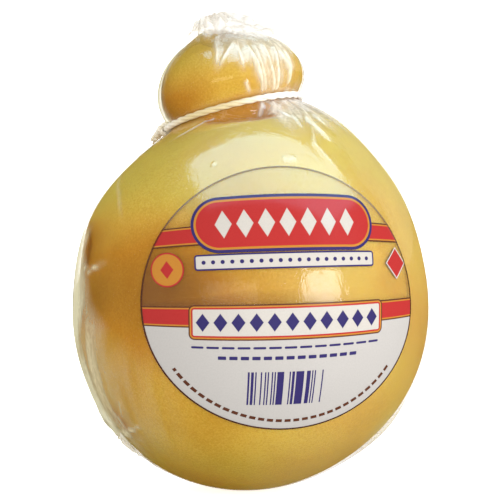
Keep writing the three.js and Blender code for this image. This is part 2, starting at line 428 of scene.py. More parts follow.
class Graph:
    """Adds nodes to a shader tree and wires them."""

    BLEND_SHARE = 0
    BLEND_FIRST = 6
    BLEND_SECOND = 7
    BLEND_RESULT = 2
    CREASE_NOISE = (4.0, 1.4)
    CREASE_WIDTH = 0.09

    def __init__(self, tree: Tree) -> None:
        """Works on a tree, which may already hold nodes."""
        self.tree = tree

    def node(self, kind: str, inputs: Optional[dict] = None, **settings: object) -> bpy.types.Node:
        """Adds a node.

        Args:
            kind: The node's type name.
            inputs: Values or links by the sockets' names.
            settings: Values for its properties.

        Returns:
            The new node.
        """
        made = self.tree.nodes.new(kind)
        for name, value in settings.items():
            setattr(made, name, value)
        for name, value in (inputs or {}).items():
            self.feed(made.inputs[name], value)
        return made

    def feed(self, socket: Socket, value: Feed) -> None:
        """Links a socket to an output, or sets its own value.

        Args:
            socket: The socket to feed.
            value: An output, or a plain value.
        """
        if isinstance(value, Socket):
            self.tree.links.new(value, socket)
        else:
            socket.default_value = value

    def call(self, kind: str, output: str, inputs: dict, **settings: object) -> Socket:
        """Adds a node, feeds it by the sockets' names and gives one of its outputs."""
        return self.node(kind, inputs, **settings).outputs[output]

    def run(self, kind: str, values: Sequence[Feed], **settings: object) -> bpy.types.NodeOutputs:
        """Adds a node and feeds its sockets in order.

        Args:
            kind: The node's type name.
            values: Values or links, in the order of the sockets.
            settings: Values for its properties.

        Returns:
            The node's outputs.
        """
        made = self.node(kind, **settings)
        for socket, value in zip(made.inputs, values):
            self.feed(socket, value)
        return made.outputs

    def math(self, operation: str, *values: Feed, clamp: bool = False) -> Socket:
        """A sum of numbers, kept from 0 to 1 if clamp is set."""
        return self.run("ShaderNodeMath", values, operation=operation, use_clamp=clamp)[0]

    def vector(self, operation: str, *values: Feed, output: str = "Vector") -> Socket:
        """A sum of vectors, whose output is Value where the result is a number."""
        return self.run("ShaderNodeVectorMath", values, operation=operation)[output]

    def blend(self, share: Feed, first: Feed, second: Feed) -> Socket:
        """A colour between two others.

        Args:
            share: How much of the second.
            first: The first colour.
            second: The second colour.

        Returns:
            The blended colour.
        """
        made = self.node("ShaderNodeMix", data_type="RGBA")
        self.feed(made.inputs[self.BLEND_SHARE], share)
        self.feed(made.inputs[self.BLEND_FIRST], self.opaque(first))
        self.feed(made.inputs[self.BLEND_SECOND], self.opaque(second))
        return made.outputs[self.BLEND_RESULT]

    def mix(self, share: Feed, first: Socket, second: Socket) -> Socket:
        """One shader mixed with a share of another."""
        return self.run("ShaderNodeMixShader", (share, first, second))[0]

    def spread(self, value: Feed, low: float, high: float, to_low: float, to_high: float) -> Socket:
        """A number mapped from the range of low to high to another range, and held at its ends."""
        return self.run("ShaderNodeMapRange", (value, low, high, to_low, to_high), clamp=True)[0]

    def noise(self, place: Feed, scale: Feed, detail: float = 3.0, twist: float = 0.0) -> Socket:
        """Cloudy noise about one half, with scale humps for each metre and detail finer layers."""
        inputs = {"Vector": place, "Scale": scale, "Detail": detail, "Distortion": twist}
        return self.call("ShaderNodeTexNoise", "Fac", inputs)

    def creases(self, place: Feed, scale: Feed, on: float, off: float) -> Socket:
        """Thin winding lines, where cloudy noise passes one half: on at a line, off away from it."""
        rough = self.math("SUBTRACT", self.noise(place, scale, *self.CREASE_NOISE), 0.5)
        return self.spread(self.math("ABSOLUTE", rough), 0.0, self.CREASE_WIDTH, on, off)

    def split(self, place: Feed) -> bpy.types.NodeOutputs:
        """A vector's numbers, under X, Y and Z."""
        return self.node("ShaderNodeSeparateXYZ", {"Vector": place}).outputs

    def carried(self, layer: Layer) -> Socket:
        """The number that a mesh carries under a name."""
        return self.node("ShaderNodeAttribute", attribute_name=layer.value).outputs["Fac"]

    def bump(self, height: Feed, strength: float, distance: float) -> Socket:
        """A normal tilted by a height, of which 1 stands for a distance in metres."""
        inputs = {"Height": height, "Strength": strength, "Distance": distance}
        return self.call("ShaderNodeBump", "Normal", inputs)

    def group(self, tree: Tree, inputs: dict) -> bpy.types.NodeOutputs:
        """Places a node group, fed by the sockets' names, and gives its outputs."""
        return self.node("ShaderNodeGroup", inputs, node_tree=tree).outputs

    def place(self) -> Socket:
        """The place on the object, in metres."""
        return self.node("ShaderNodeTexCoord").outputs["Object"]

    @staticmethod
    def opaque(colour: Feed) -> Feed:
        """Adds full alpha to a plain colour, and leaves a link as it is."""
        return colour if isinstance(colour, Socket) else (*colour, 1.0)


class Effects:
    """The node groups that more than one material uses, each made once."""

    PATCH_NOISE = (4.0, 0.6)
    PATCH_RANGE = (0.32, 0.68)
    WAVE_NOISE = (2.0, 0.8)
    GRAIN_DETAIL = 2.0
    LOZENGE_SLANT = 0.75
    NO_LIMIT = 1000.0
    MARK_INPUTS = {
        "Place": VECTOR,
        "Middle": VECTOR,
        "Half Size": VECTOR,
        "Pitch": FLOAT,
        "Each Side": FLOAT,
        "Edge": FLOAT,
    }

    @staticmethod
    def _new(name: str, inputs: dict, outputs: dict) -> Graph:
        """Starts a group with named sockets.

        Args:
            name: The group's name.
            inputs: Socket types of its inputs, by name.
            outputs: Socket types of its outputs, by name.

        Returns:
            The graph to fill.
        """
        tree = bpy.data.node_groups.new(name, "ShaderNodeTree")
        for socket, kind in inputs.items():
            tree.interface.new_socket(socket, in_out="INPUT", socket_type=kind)
        for socket, kind in outputs.items():
            tree.interface.new_socket(socket, in_out="OUTPUT", socket_type=kind)
        return Graph(tree)

    @classmethod
    @cache
    def mottle(cls) -> Tree:
        """Cloudy patches of two colours, with a finer grain on them.

        Returns:
            The group.
        """
        inputs = {
            "Place": VECTOR,
            "Light": COLOUR,
            "Dark": COLOUR,
            "Patch Scale": FLOAT,
            "Grain Scale": FLOAT,
            "Grain Share": FLOAT,
        }
        graph = cls._new("Mottle", inputs, {"Colour": COLOUR, "Grain": FLOAT})
        source = graph.node("NodeGroupInput").outputs
        place = source["Place"]
        patch = graph.noise(place, source["Patch Scale"], *cls.PATCH_NOISE)
        grain = graph.noise(place, source["Grain Scale"])
        centred = graph.math("SUBTRACT", grain, 0.5)
        whole = graph.math("MULTIPLY_ADD", centred, source["Grain Share"], patch)
        share = graph.spread(whole, *cls.PATCH_RANGE, 0.0, 1.0)
        colour = graph.blend(share, source["Dark"], source["Light"])
        graph.node("NodeGroupOutput", {"Colour": colour, "Grain": grain})
        return graph.tree

    @classmethod
    @cache
    def crinkle(cls) -> Tree:
        """The waviness of thin film: long soft waves, short sharp creases and a fine grain.

        Returns:
            The group.
        """
        inputs = {
            "Place": VECTOR,
            "Wave Scale": FLOAT,
            "Crease Scale": FLOAT,
            "Crease Share": FLOAT,
            "Grain Scale": FLOAT,
            "Grain Share": FLOAT,
        }
        graph = cls._new("Crinkle", inputs, {"Height": FLOAT})
        source = graph.node("NodeGroupInput").outputs
        place = source["Place"]
        wave = graph.noise(place, source["Wave Scale"], *cls.WAVE_NOISE)
        crease = graph.creases(place, source["Crease Scale"], 1.0, 0.0)
        grain = graph.noise(place, source["Grain Scale"], cls.GRAIN_DETAIL)
        fine = graph.math("MULTIPLY_ADD", grain, source["Grain Share"], wave)
        height = graph.math("MULTIPLY_ADD", crease, source["Crease Share"], fine)
        graph.node("NodeGroupOutput", {"Height": height})
        return graph.tree

    @classmethod
    @cache
    def box_mark(cls) -> Tree:
        """A mask of a box with round corners, or of a row of them.

        Returns:
            The group.
        """
        inputs = {**cls.MARK_INPUTS, "Corner": FLOAT}
        graph = cls._new(Outline.BOX.value, inputs, {"Mask": FLOAT})
        source, past = cls._mark_past(graph)
        past = graph.vector("ADD", past, source["Corner"])
        axes = graph.split(past)
        inside = graph.math("MAXIMUM", axes["X"], axes["Y"])
        outer = graph.vector("MAXIMUM", past, (0.0, 0.0, 0.0))
        outer = graph.vector("LENGTH", outer, output="Value")
        whole = graph.math("ADD", outer, graph.math("MINIMUM", inside, 0.0))
        cls._mark_mask(graph, source, graph.math("SUBTRACT", whole, source["Corner"]))
        return graph.tree

    @classmethod
    @cache
    def lozenge_mark(cls) -> Tree:
        """A mask of a lozenge, or of a row of them.

        Returns:
            The group.
        """
        graph = cls._new(Outline.LOZENGE.value, cls.MARK_INPUTS, {"Mask": FLOAT})
        source, past = cls._mark_past(graph)
        size = graph.split(source["Half Size"])
        axes = graph.split(graph.vector("DIVIDE", past, source["Half Size"]))
        whole = graph.math("ADD", graph.math("ADD", axes["X"], axes["Y"]), 1.0)
        least = graph.math("MINIMUM", size["X"], size["Y"])
        reach = graph.math("MULTIPLY", least, cls.LOZENGE_SLANT)
        cls._mark_mask(graph, source, graph.math("MULTIPLY", whole, reach))
        return graph.tree

    @staticmethod
    def _mark_past(graph: Graph) -> tuple[bpy.types.NodeOutputs, Socket]:
        """How far a place lies past the sides of the nearest mark of a row.

        Args:
            graph: The group's graph.

        Returns:
            The group's inputs, and the distances along both axes.
        """
        source = graph.node("NodeGroupInput").outputs
        axes = graph.split(graph.vector("SUBTRACT", source["Place"], source["Middle"]))
        step = graph.math("ROUND", graph.math("DIVIDE", axes["X"], source["Pitch"]))
        least = graph.math("MULTIPLY", source["Each Side"], -1.0)
        step = graph.math("MAXIMUM", graph.math("MINIMUM", step, source["Each Side"]), least)
        across = graph.math("SUBTRACT", axes["X"], graph.math("MULTIPLY", step, source["Pitch"]))
        near = graph.call("ShaderNodeCombineXYZ", "Vector", {"X": across, "Y": axes["Y"]})
        past = graph.vector("SUBTRACT", graph.vector("ABSOLUTE", near), source["Half Size"])
        return source, past

    @staticmethod
    def _mark_mask(graph: Graph, source: bpy.types.NodeOutputs, distance: Socket) -> None:
        """Puts out a mask with a soft edge, by the distance from an outline, less than 0 inside it."""
        soft = graph.math("DIVIDE", distance, source["Edge"])
        graph.node("NodeGroupOutput", {"Mask": graph.math("SUBTRACT", 0.5, soft, clamp=True)})


class Finish:
    """A material that a piece wears."""

    name: str

    def material(self) -> bpy.types.Material:
        """Builds the material.

        Returns:
            The new material.
        """
        made = bpy.data.materials.new(self.name)
        made.use_nodes = True
        made.node_tree.nodes.clear()
        graph = Graph(made.node_tree)
        output = graph.node("ShaderNodeOutputMaterial")
        graph.feed(output.inputs["Surface"], self.surface(graph))
        return made

    def surface(self, graph: Graph) -> Socket:
        """Adds the finish's nodes.

        Args:
            graph: The material's graph.

        Returns:
            The shader that the surface shows.
        """
        raise NotImplementedError


@dataclass(frozen=True)
class RindFinish(Finish):
    """Smooth yellow rind, a little see-through, with soft patches, fine stretch marks and painted shade.
    """

    name: str = "Rind"
    # Lemon is the rind under painted top light; golden, amber and brown paint ever deeper shade.
    lemon: Colour = (0.73, 0.58, 0.086)
    golden: Colour = (0.71, 0.45, 0.062)
    amber: Colour = (0.60, 0.28, 0.022)
    brown: Colour = (0.40, 0.19, 0.018)
    shade: Colour = (0.87, 0.81, 0.62)
    tone_steps: tuple[float, ...] = (0.0, 0.3, 0.6, 1.0)
    patch_scale: float = 26.0
    grain_scale: float = 1300.0
    grain_share: float = 1.2
    mark_stretch: float = 0.18
    mark_scale: float = 320.0
    mark_detail: float = 4.0
    mark_twist: float = 0.4
    mark_share: float = 0.6
    relief: float = 0.0003
    relief_share: float = 0.25
    roughness: Pair = (0.4, 0.55)
    shine: float = 0.1
    glow_depth: float = 0.004
    glow_share: float = 0.25
    glow_reach: Colour = (1.0, 0.45, 0.12)

    def surface(self, graph: Graph) -> Socket:
        """The carried tone and painted shade, mottled, with a bump of grain and marks drawn upwards.

        Args:
            graph: The material's graph.

        Returns:
            The shader that the surface shows.
        """
        place = graph.place()
        inputs = {
            "Place": place,
            "Light": WHITE,
            "Dark": (*self.shade, 1.0),
            "Patch Scale": self.patch_scale,
            "Grain Scale": self.grain_scale,
            "Grain Share": self.grain_share,
        }
        mottle = graph.group(Effects.mottle(), inputs)
        stretched = graph.vector("MULTIPLY", place, (1.0, 1.0, self.mark_stretch))
        marks = graph.noise(stretched, self.mark_scale, self.mark_detail, self.mark_twist)
        height = graph.math("MULTIPLY_ADD", marks, self.mark_share, mottle["Grain"])
        ripe = graph.carried(Layer.TINT_AND_SHADE)
        # The carried share steps from lemon to brown: mostly painted light and shade, with random
        # patches.
        tone: Feed = self.lemon
        spans = zip(self.tone_steps, self.tone_steps[1:])
        for riper, (low, high) in zip((self.golden, self.amber, self.brown), spans):
            tone = graph.blend(graph.spread(ripe, low, high, 0.0, 1.0), tone, riper)
        looks = {
            "Base Color": graph.vector("MULTIPLY", tone, mottle["Colour"]),
            "Roughness": graph.spread(mottle["Grain"], *NOISE_RANGE, *self.roughness),
            "Normal": graph.bump(height, self.relief_share, self.relief),
            "Specular IOR Level": self.shine,
            "Subsurface Weight": self.glow_share,
            "Subsurface Radius": self.glow_reach,
            "Subsurface Scale": self.glow_depth,
        }
        return graph.call("ShaderNodeBsdfPrincipled", "BSDF", looks)


@dataclass(frozen=True)
class FilmFinish(Finish):
    """Thin clear film: glossy, see-through, and whitish where it is gathered or creased."""

    name: str = "Film"
    tint: Colour = (0.99, 0.985, 0.97)
    veil: Colour = (0.97, 0.95, 0.91)
    # The second veil colour paints the cheese-coloured light that the film takes from the rind under it.
    warm_veil: Colour = (0.96, 0.91, 0.60)
    roughness: float = 0.07
    bend: float = 1.5
    faces: float = 2.0
    most_mirror: float = 0.2
    sheen: float = 0.05
    sheen_roughness: float = 0.42
    shine_through: float = 0.08
    least_veil: float = 0.006
    most_veil: float = 0.9
    wave_scale: float = 45.0
    crease_scale: float = 260.0
    crease_share: float = 0.12
    grain_scale: float = 800.0
    grain_share: float = 0.05
    relief: float = 0.00022
    relief_share: float = 0.5
    stretch: float = 0.4
    plain_share: float = 0.85
    streak_share: float = 0.3

    def surface(self, graph: Graph) -> Socket:
        """Clear film veiled by the haze that the mesh carries, under a gloss.

        Args:
            graph: The material's graph.

        Returns:
            The shader that the surface shows.
        """
        haze = graph.carried(Layer.HAZE_AND_SHEEN)
        place = graph.vector("MULTIPLY", graph.place(), (1.0, 1.0, self.stretch))
        inputs = {
            "Place": place,
            "Wave Scale": self.wave_scale,
            "Crease Scale": self.crease_scale,
            "Crease Share": self.crease_share,
            "Grain Scale": self.grain_scale,
            "Grain Share": self.grain_share,
        }
        crinkle = graph.group(Effects.crinkle(), inputs)
        normal = graph.bump(crinkle["Height"], self.relief_share, self.relief)
        streaked = self.plain_share + self.streak_share
        streaks = graph.creases(place, self.crease_scale, streaked, self.plain_share)
        veiled = graph.math("MULTIPLY", haze, streaks)
        share = graph.spread(veiled, 0.0, 1.0, self.least_veil, self.most_veil)
        clear = graph.call("ShaderNodeBsdfTransparent", "BSDF", {"Color": (*self.tint, 1.0)})
        # Painted cheese-coloured light: the veil warms where the mesh says so.
        colour = graph.blend(graph.carried(Layer.TINT_AND_SHADE), self.veil, self.warm_veil)
        veil = {"Color": colour, "Normal": normal}
        cloudy = graph.call("ShaderNodeBsdfDiffuse", "BSDF", veil)
        glowing = graph.call("ShaderNodeBsdfTranslucent", "BSDF", veil)
        sharp = {"Roughness": self.roughness, "Normal": normal}
        gloss = graph.call("ShaderNodeBsdfGlossy", "BSDF", sharp)
        blurred = {"Roughness": self.sheen_roughness, "Normal": normal}
        soft = graph.call("ShaderNodeBsdfGlossy", "BSDF", blurred)
        fresnel = graph.call("ShaderNodeFresnel", "Fac", {"IOR": self.bend, "Normal": normal})
        mirror = graph.math("MINIMUM", graph.math("MULTIPLY", fresnel, self.faces), self.most_mirror)
        white = graph.mix(self.shine_through, cloudy, glowing)
        under = graph.mix(self.sheen, graph.mix(share, clear, white), soft)
        return graph.mix(mirror, under, gloss)


@dataclass(frozen=True)
class CordFinish(Finish):
    """Soft white tie cord with fine fibres."""

    name: str = "Cord"
    light: Colour = (0.97, 0.955, 0.92)
    dark: Colour = (0.92, 0.89, 0.83)
    # The beige that stands for painted shade on the cord.
    shaded: Colour = (0.66, 0.54, 0.29)
    patch_scale: float = 160.0
    grain_scale: float = 3000.0
    grain_share: float = 0.5
    relief: float = 0.0002
    relief_share: float = 0.5
    roughness: float = 0.6
    sheen: float = 0.2

    def surface(self, graph: Graph) -> Socket:
        """Mottled colour with a fibre bump, beige where the mesh carries painted shade.

        Args:
            graph: The material's graph.

        Returns:
            The shader that the surface shows.
        """
        inputs = {
            "Place": graph.place(),
            "Light": (*self.light, 1.0),
            "Dark": (*self.dark, 1.0),
            "Patch Scale": self.patch_scale,
            "Grain Scale": self.grain_scale,
            "Grain Share": self.grain_share,
        }
        mottle = graph.group(Effects.mottle(), inputs)
        looks = {
            "Base Color": graph.blend(graph.carried(Layer.TINT_AND_SHADE), mottle["Colour"], self.shaded),
            "Roughness": self.roughness,
            "Normal": graph.bump(mottle["Grain"], self.relief_share, self.relief),
            "Sheen Weight": self.sheen,
        }
        return graph.call("ShaderNodeBsdfPrincipled", "BSDF", looks)


class Ink(Enum):
    """The label's inks."""

    PAPER = (0.47, 0.445, 0.42)
    CREAM = (0.53, 0.495, 0.45)
    RED = (0.41, 0.030, 0.028)
    GOLD = (0.48, 0.20, 0.03)
    NAVY = (0.036, 0.028, 0.12)
    BROWN = (0.10, 0.035, 0.02)
    # Not an ink: the brown of the painted shade on the clear film.
    SHADE = (0.24, 0.10, 0.04)


class Outline(Enum):
    """The shapes that the print is made of."""

    BOX = "Box Mark"
    LOZENGE = "Lozenge Mark"


@dataclass(frozen=True)
class Mark:
    """One printed shape, or a row of like ones, in millimetres from the middle of the label."""

    outline: Outline
    ink: Ink
    middle: Pair
    half: Pair
    corner: float = 0.0
    pitch: float = 1.0
    each_side: int = 0


@dataclass(frozen=True)
class ShadeTint:
    """Painted shade in brown on the label's clear film, which fades to the right and upwards."""

    shares: Pair
    span: Pair
    heights: Pair
    left_above: float


@dataclass(frozen=True)
class LabelFinish(Finish):
    """A glossy clear label, off-white below, printed with stripes and simple shapes, with painted shade.
    """

    name: str = "Label"
    half_width: float = 56.0
    half_height: float = 49.0
    rise_right: float = 0.027
    smile: float = 0.0008
    edge: float = 0.16
    shade_tints: tuple[ShadeTint, ShadeTint] = (
        ShadeTint((0.3, 0.03), (-0.9, -0.3), (6.0, 20.0), 0.2),
        ShadeTint((0.4, 0.05), (-0.9, 0.5), (-1.0, 5.0), 0.1),
    )
    hazy_top: Pair = (26.0, 38.0)
    top_tint: float = 0.06
    past_edge: float = 70.0
    bars_middle: Pair = (-1.0, -31.5)
    bars_half: Pair = (14.2, 6.4)
    bars_a_millimetre: float = 2.0
    bars_missing: float = 0.45
    rim_line: float = 0.993
    rim_half: float = 0.0065
    rim_pale: Pair = (40.0, 0.5)
    dash_line: float = 0.915
    dash_half: float = 0.013
    dash_pitch: float = 13.0
    dash_share: float = 0.7
    dash_turn: float = 1.05
    fleck_scale: float = 1.6
    fleck_range: Pair = (0.2, 0.6)
    fleck_cover: Pair = (0.9, 0.97)
    roughness: Pair = (0.12, 0.2)
    shine: float = 0.35

    def marks(self) -> list[Mark]:
        """The print.

        Returns:
            Its marks, from the lowest layer to the uppermost.
        """
        box = Outline.BOX
        lozenge = Outline.LOZENGE
        edging = ((Ink.BROWN, 0.0), (Ink.GOLD, 0.5), (Ink.RED, 1.0))
        plate = (0.4, -7.2)
        crest = (0.0, 28.0)
        strip = (0.0, 14.6)
        disc = (-44.5, 12.5)
        made = [Mark(box, Ink.PAPER, (0.0, -35.0), (self.past_edge, 30.0))]
        for height, half in ((-5.2, 3.9), (24.6, 3.6)):
            for ink, inset in edging:
                made.append(Mark(box, ink, (0.0, height), (self.past_edge, half - inset)))
        for ink, inset in (*edging, (Ink.CREAM, 1.6)):
            made.append(Mark(box, ink, plate, (37.2 - inset, 6.4 - inset), 2.2 - inset))
        made.append(Mark(lozenge, Ink.NAVY, plate, (2.5, 3.3), 0.0, 6.4, 5))
        for ink, inset in ((Ink.NAVY, 0.0), (Ink.GOLD, 1.1), (Ink.RED, 1.9)):
            made.append(Mark(box, ink, crest, (34.5 - inset, 10.2 - inset), 10.2 - inset))
        made.append(Mark(lozenge, Ink.CREAM, crest, (3.0, 5.0), 0.0, 7.6, 3))
        for ink, inset in ((Ink.NAVY, 0.0), (Ink.CREAM, 0.6)):
            made.append(Mark(box, ink, strip, (34.0 - inset, 2.9 - inset), 1.2 - inset))
        made.append(Mark(box, Ink.NAVY, strip, (0.75, 0.75), 0.75, 3.4, 9))
        for ink, radius in ((Ink.RED, 6.6), (Ink.GOLD, 6.0)):
            made.append(Mark(box, ink, disc, (radius, radius), radius))
        made.append(Mark(lozenge, Ink.RED, disc, (2.6, 3.4)))
        for ink, inset in ((Ink.CREAM, 0.0), (Ink.RED, 0.7)):
            made.append(Mark(lozenge, ink, (46.5, 12.8), (6.0 - inset, 6.4 - inset)))
        made.append(Mark(box, Ink.NAVY, (0.0, -16.3), (2.3, 0.42), 0.4, 5.6, 6))
        made.append(Mark(box, Ink.NAVY, (0.0, -20.0), (1.5, 0.65), 0.3, 4.1, 6))
        return made

    def surface(self, graph: Graph) -> Socket:
        """Inks and painted shade over clear film, by the map that the mesh carries.

        Args:
            graph: The material's graph.

        Returns:
            The shader that the surface shows.
        """
        flat = graph.node("ShaderNodeUVMap", uv_map=Layer.PRINT.value).outputs["UV"]
        axes = graph.split(flat)
        across = axes["X"]
        slope = graph.math("MULTIPLY_ADD", across, self.smile, self.rise_right)
        level = graph.math("SUBTRACT", axes["Y"], graph.math("MULTIPLY", slope, across))
        place = graph.call("ShaderNodeCombineXYZ", "Vector", {"X": across, "Y": level})
        at_top = graph.spread(level, *self.hazy_top, 0.0, 1.0)
        colour = graph.blend(at_top, Ink.SHADE.value, Ink.PAPER.value)
        # Painted shade in brown: at the label's left, and in a band above the lower stripe.
        left, band = (self.shade_cover(graph, across, level, tint) for tint in self.shade_tints)
        cover = graph.math("MAXIMUM", left, band)
        cover = graph.math("MAXIMUM", cover, graph.math("MULTIPLY", at_top, self.top_tint))
        for mark in self.marks():
            mask = self.mask(graph, place, mark)
            colour = graph.blend(mask, colour, mark.ink.value)
            cover = graph.math("MAXIMUM", cover, mask)
        for ink, mask in ((Ink.NAVY, self.bars(graph, place)), (Ink.BROWN, self.rim(graph, flat))):
            colour = graph.blend(mask, colour, ink.value)
            cover = graph.math("MAXIMUM", cover, mask)
        fleck = graph.noise(flat, self.fleck_scale)
        flecked = graph.spread(fleck, *self.fleck_range, *self.fleck_cover)
        looks = {
            "Base Color": colour,
            "Roughness": graph.spread(fleck, *NOISE_RANGE, *self.roughness),
            "Alpha": graph.math("MULTIPLY", cover, flecked),
            "Specular IOR Level": self.shine,
        }
        return graph.call("ShaderNodeBsdfPrincipled", "BSDF", looks)

    def shade_cover(self, graph: Graph, across: Socket, level: Socket, tint: ShadeTint) -> Socket:
        """How much a painted shade covers.

        Args:
            graph: The material's graph.
            across: The place on the label, to the right.
            level: The place on the label, upwards.
            tint: The tint.

        Returns:
            A share.
        """
        low, high = (share * self.half_width for share in tint.span)
        aside = graph.spread(across, low, high, *tint.shares)
        upwards = graph.spread(level, *tint.heights, 1.0, tint.left_above)
        return graph.math("MULTIPLY", aside, upwards)

    def mask(self, graph: Graph, place: Socket, mark: Mark) -> Socket:
        """Where one mark of the print lies.

        Args:
            graph: The material's graph.
            place: The place on the label.
            mark: The mark.

        Returns:
            A mask.
        """
        inputs = {
            "Place": place,
            "Middle": (*mark.middle, 0.0),
            "Half Size": (*mark.half, Effects.NO_LIMIT),
            "Pitch": mark.pitch,
            "Each Side": float(mark.each_side),
            "Edge": self.edge,
        }
        if mark.outline is Outline.BOX:
            inputs["Corner"] = mark.corner
            return graph.group(Effects.box_mark(), inputs)["Mask"]
        return graph.group(Effects.lozenge_mark(), inputs)["Mask"]

    def bars(self, graph: Graph, place: Socket) -> Socket:
        """A block of upright bars of mixed width.

        Args:
            graph: The material's graph.
            place: The place on the label.

        Returns:
            A mask.
        """
        block = self.mask(graph, place, Mark(Outline.BOX, Ink.NAVY, self.bars_middle, self.bars_half))
        steps = graph.math("MULTIPLY", graph.split(place)["X"], self.bars_a_millimetre)
        step = graph.math("FLOOR", steps)
        draw = graph.call("ShaderNodeTexWhiteNoise", "Value", {"W": step}, noise_dimensions="1D")
        return graph.math("MULTIPLY", block, graph.math("GREATER_THAN", draw, self.bars_missing))

    def rim(self, graph: Graph, flat: Socket) -> Socket:
        """A thin line along the edge, and dashes inside it at the bottom.

        Args:
            graph: The material's graph.
            flat: The place on the label.

        Returns:
            A mask.
        """
        axes = graph.split(flat)
        shares = graph.vector("DIVIDE", flat, (self.half_width, self.half_height, 1.0))
        share = graph.vector("LENGTH", shares, output="Value")
        line = graph.math("COMPARE", share, self.rim_line, self.rim_half)
        pale_height, pale = self.rim_pale
        line = graph.math("MULTIPLY", line, graph.spread(axes["Y"], 0.0, pale_height, 1.0, pale))
        turn = graph.math("ARCTAN2", axes["X"], graph.math("MULTIPLY", axes["Y"], -1.0))
        beat = graph.math("FRACT", graph.math("MULTIPLY", turn, self.dash_pitch))
        dashes = graph.math("LESS_THAN", beat, self.dash_share)
        band = graph.math("COMPARE", share, self.dash_line, self.dash_half)
        low = graph.math("LESS_THAN", graph.math("ABSOLUTE", turn), self.dash_turn)
        arc = graph.math("MULTIPLY", graph.math("MULTIPLY", dashes, band), low)
        return graph.math("MAXIMUM", line, arc)


@dataclass(frozen=True)
class FloorFinish(Finish):
    """Plain pale studio floor that glows a little."""

    name: str = "Floor"
    colour: Colour = (0.88, 0.85, 0.86)
    roughness: float = 0.9
    shine: float = 0.1
    glow: float = 0.8

    def surface(self, graph: Graph) -> Socket:
        """Matt colour with a faint glow."""
        looks = {
            "Base Color": (*self.colour, 1.0),
            "Roughness": self.roughness,
            "Specular IOR Level": self.shine,
            "Emission Color": WHITE,
            "Emission Strength": self.glow,
        }
        return graph.call("ShaderNodeBsdfPrincipled", "BSDF", looks)


def settle(piece: Piece, finish: bpy.types.Material, slot: Slot, *nodes: Node) -> None:
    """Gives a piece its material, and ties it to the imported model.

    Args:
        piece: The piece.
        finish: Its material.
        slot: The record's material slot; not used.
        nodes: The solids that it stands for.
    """
    piece.data.materials.append(finish)
    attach(piece, BODY)
    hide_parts(*(node.value for node in nodes))
    LOG.info("%s: %d faces", piece.name, len(piece.data.polygons))


def behind_left(angles: Array) -> Array:
    """How far behind the front view's left edge each angle lies: 0 up to the edge, 1 well behind it."""
    return smooth_step(EDGE_TURN, BEHIND_TURN, turn_between(angles, math.pi))


@dataclass(frozen=True)
class LooseFilm:
    """How far the film stands off the cheese: tight nearly all over, and slack at the left."""

    tight: float = 0.00025
    slack: float = 0.0036
    slack_angle: float = math.radians(180.0)
    slack_turn: float = math.radians(50.0)
    slack_low: Pair = (0.072, 0.090)
    slack_high: Pair = (0.106, 0.094)
    slack_sink: float = 0.03
    head_slack: float = 0.0006
    head_turn: float = math.radians(40.0)
    head_reach: float = 0.6

    def gap(self, form: PearForm, heights: Array, angles: Array) -> Array:
        """The gap under the film.

        Args:
            form: The outer form.
            heights: Heights along the spine.
            angles: Angles round the spine.

        Returns:
            A grid of distances, one row for each height.
        """
        aside = np.abs(turn_between(angles, self.slack_angle))[None, :]
        low = smooth_step(*self.slack_low, heights)[:, None]
        behind = behind_left(angles)[None, :]
        high = smooth_step(*self.slack_high, heights[:, None] + self.slack_sink * behind)
        slack = self.slack * low * high * smooth_step(self.slack_turn, 0.0, aside) * (1.0 - behind)
        from_head = (heights - form.head_height) / (self.head_reach * form.head_drop)
        at_head = bell(from_head)[:, None]
        return self.tight + slack + self.head_slack * at_head * smooth_step(self.head_turn, 0.0, aside)


@dataclass(frozen=True)
class NeckCrease:
    """The crease between head and shoulder, which lies under the cord and below it at the front."""

    path: tuple[Pair, ...] = (
        (-118.0, 141.0), (-110.0, 138.5), (-98.0, 137.2), (-74.0, 135.8),
    )
    ends: Ramp = (-119.0, -108.0, -70.0, -58.0)
    edge: float = 0.0007
    full_depth: float = 0.0004

    def depth(self, form: PearForm, heights: Array, angles: Array) -> Array:
        """How far the surface lies inside the form.

        Args:
            form: The outer form.
            heights: Heights along the spine.
            angles: Angles round the spine.

        Returns:
            A grid of distances, one row for each height.
        """
        turns = np.degrees(turn_between(angles, 0.0))
        corners = np.array(self.path)
        floor = np.interp(turns, corners[:, 0], corners[:, 1] * MILLIMETRE)[None, :]
        wall = form.radius(np.array([form.neck_height]))[0]
        inside = np.clip(form.radius(heights) - wall, 0.0, None) * (heights < form.neck_height)
        above = smooth_step(floor - self.edge, floor + self.edge, heights[:, None])
        return inside[:, None] * plateau(self.ends, turns)[None, :] * above

    def share(self, depths: Array) -> Array:
        """How far into the crease places lie, by their depth inside the form."""
        return smooth_step(0.0, self.full_depth, depths)


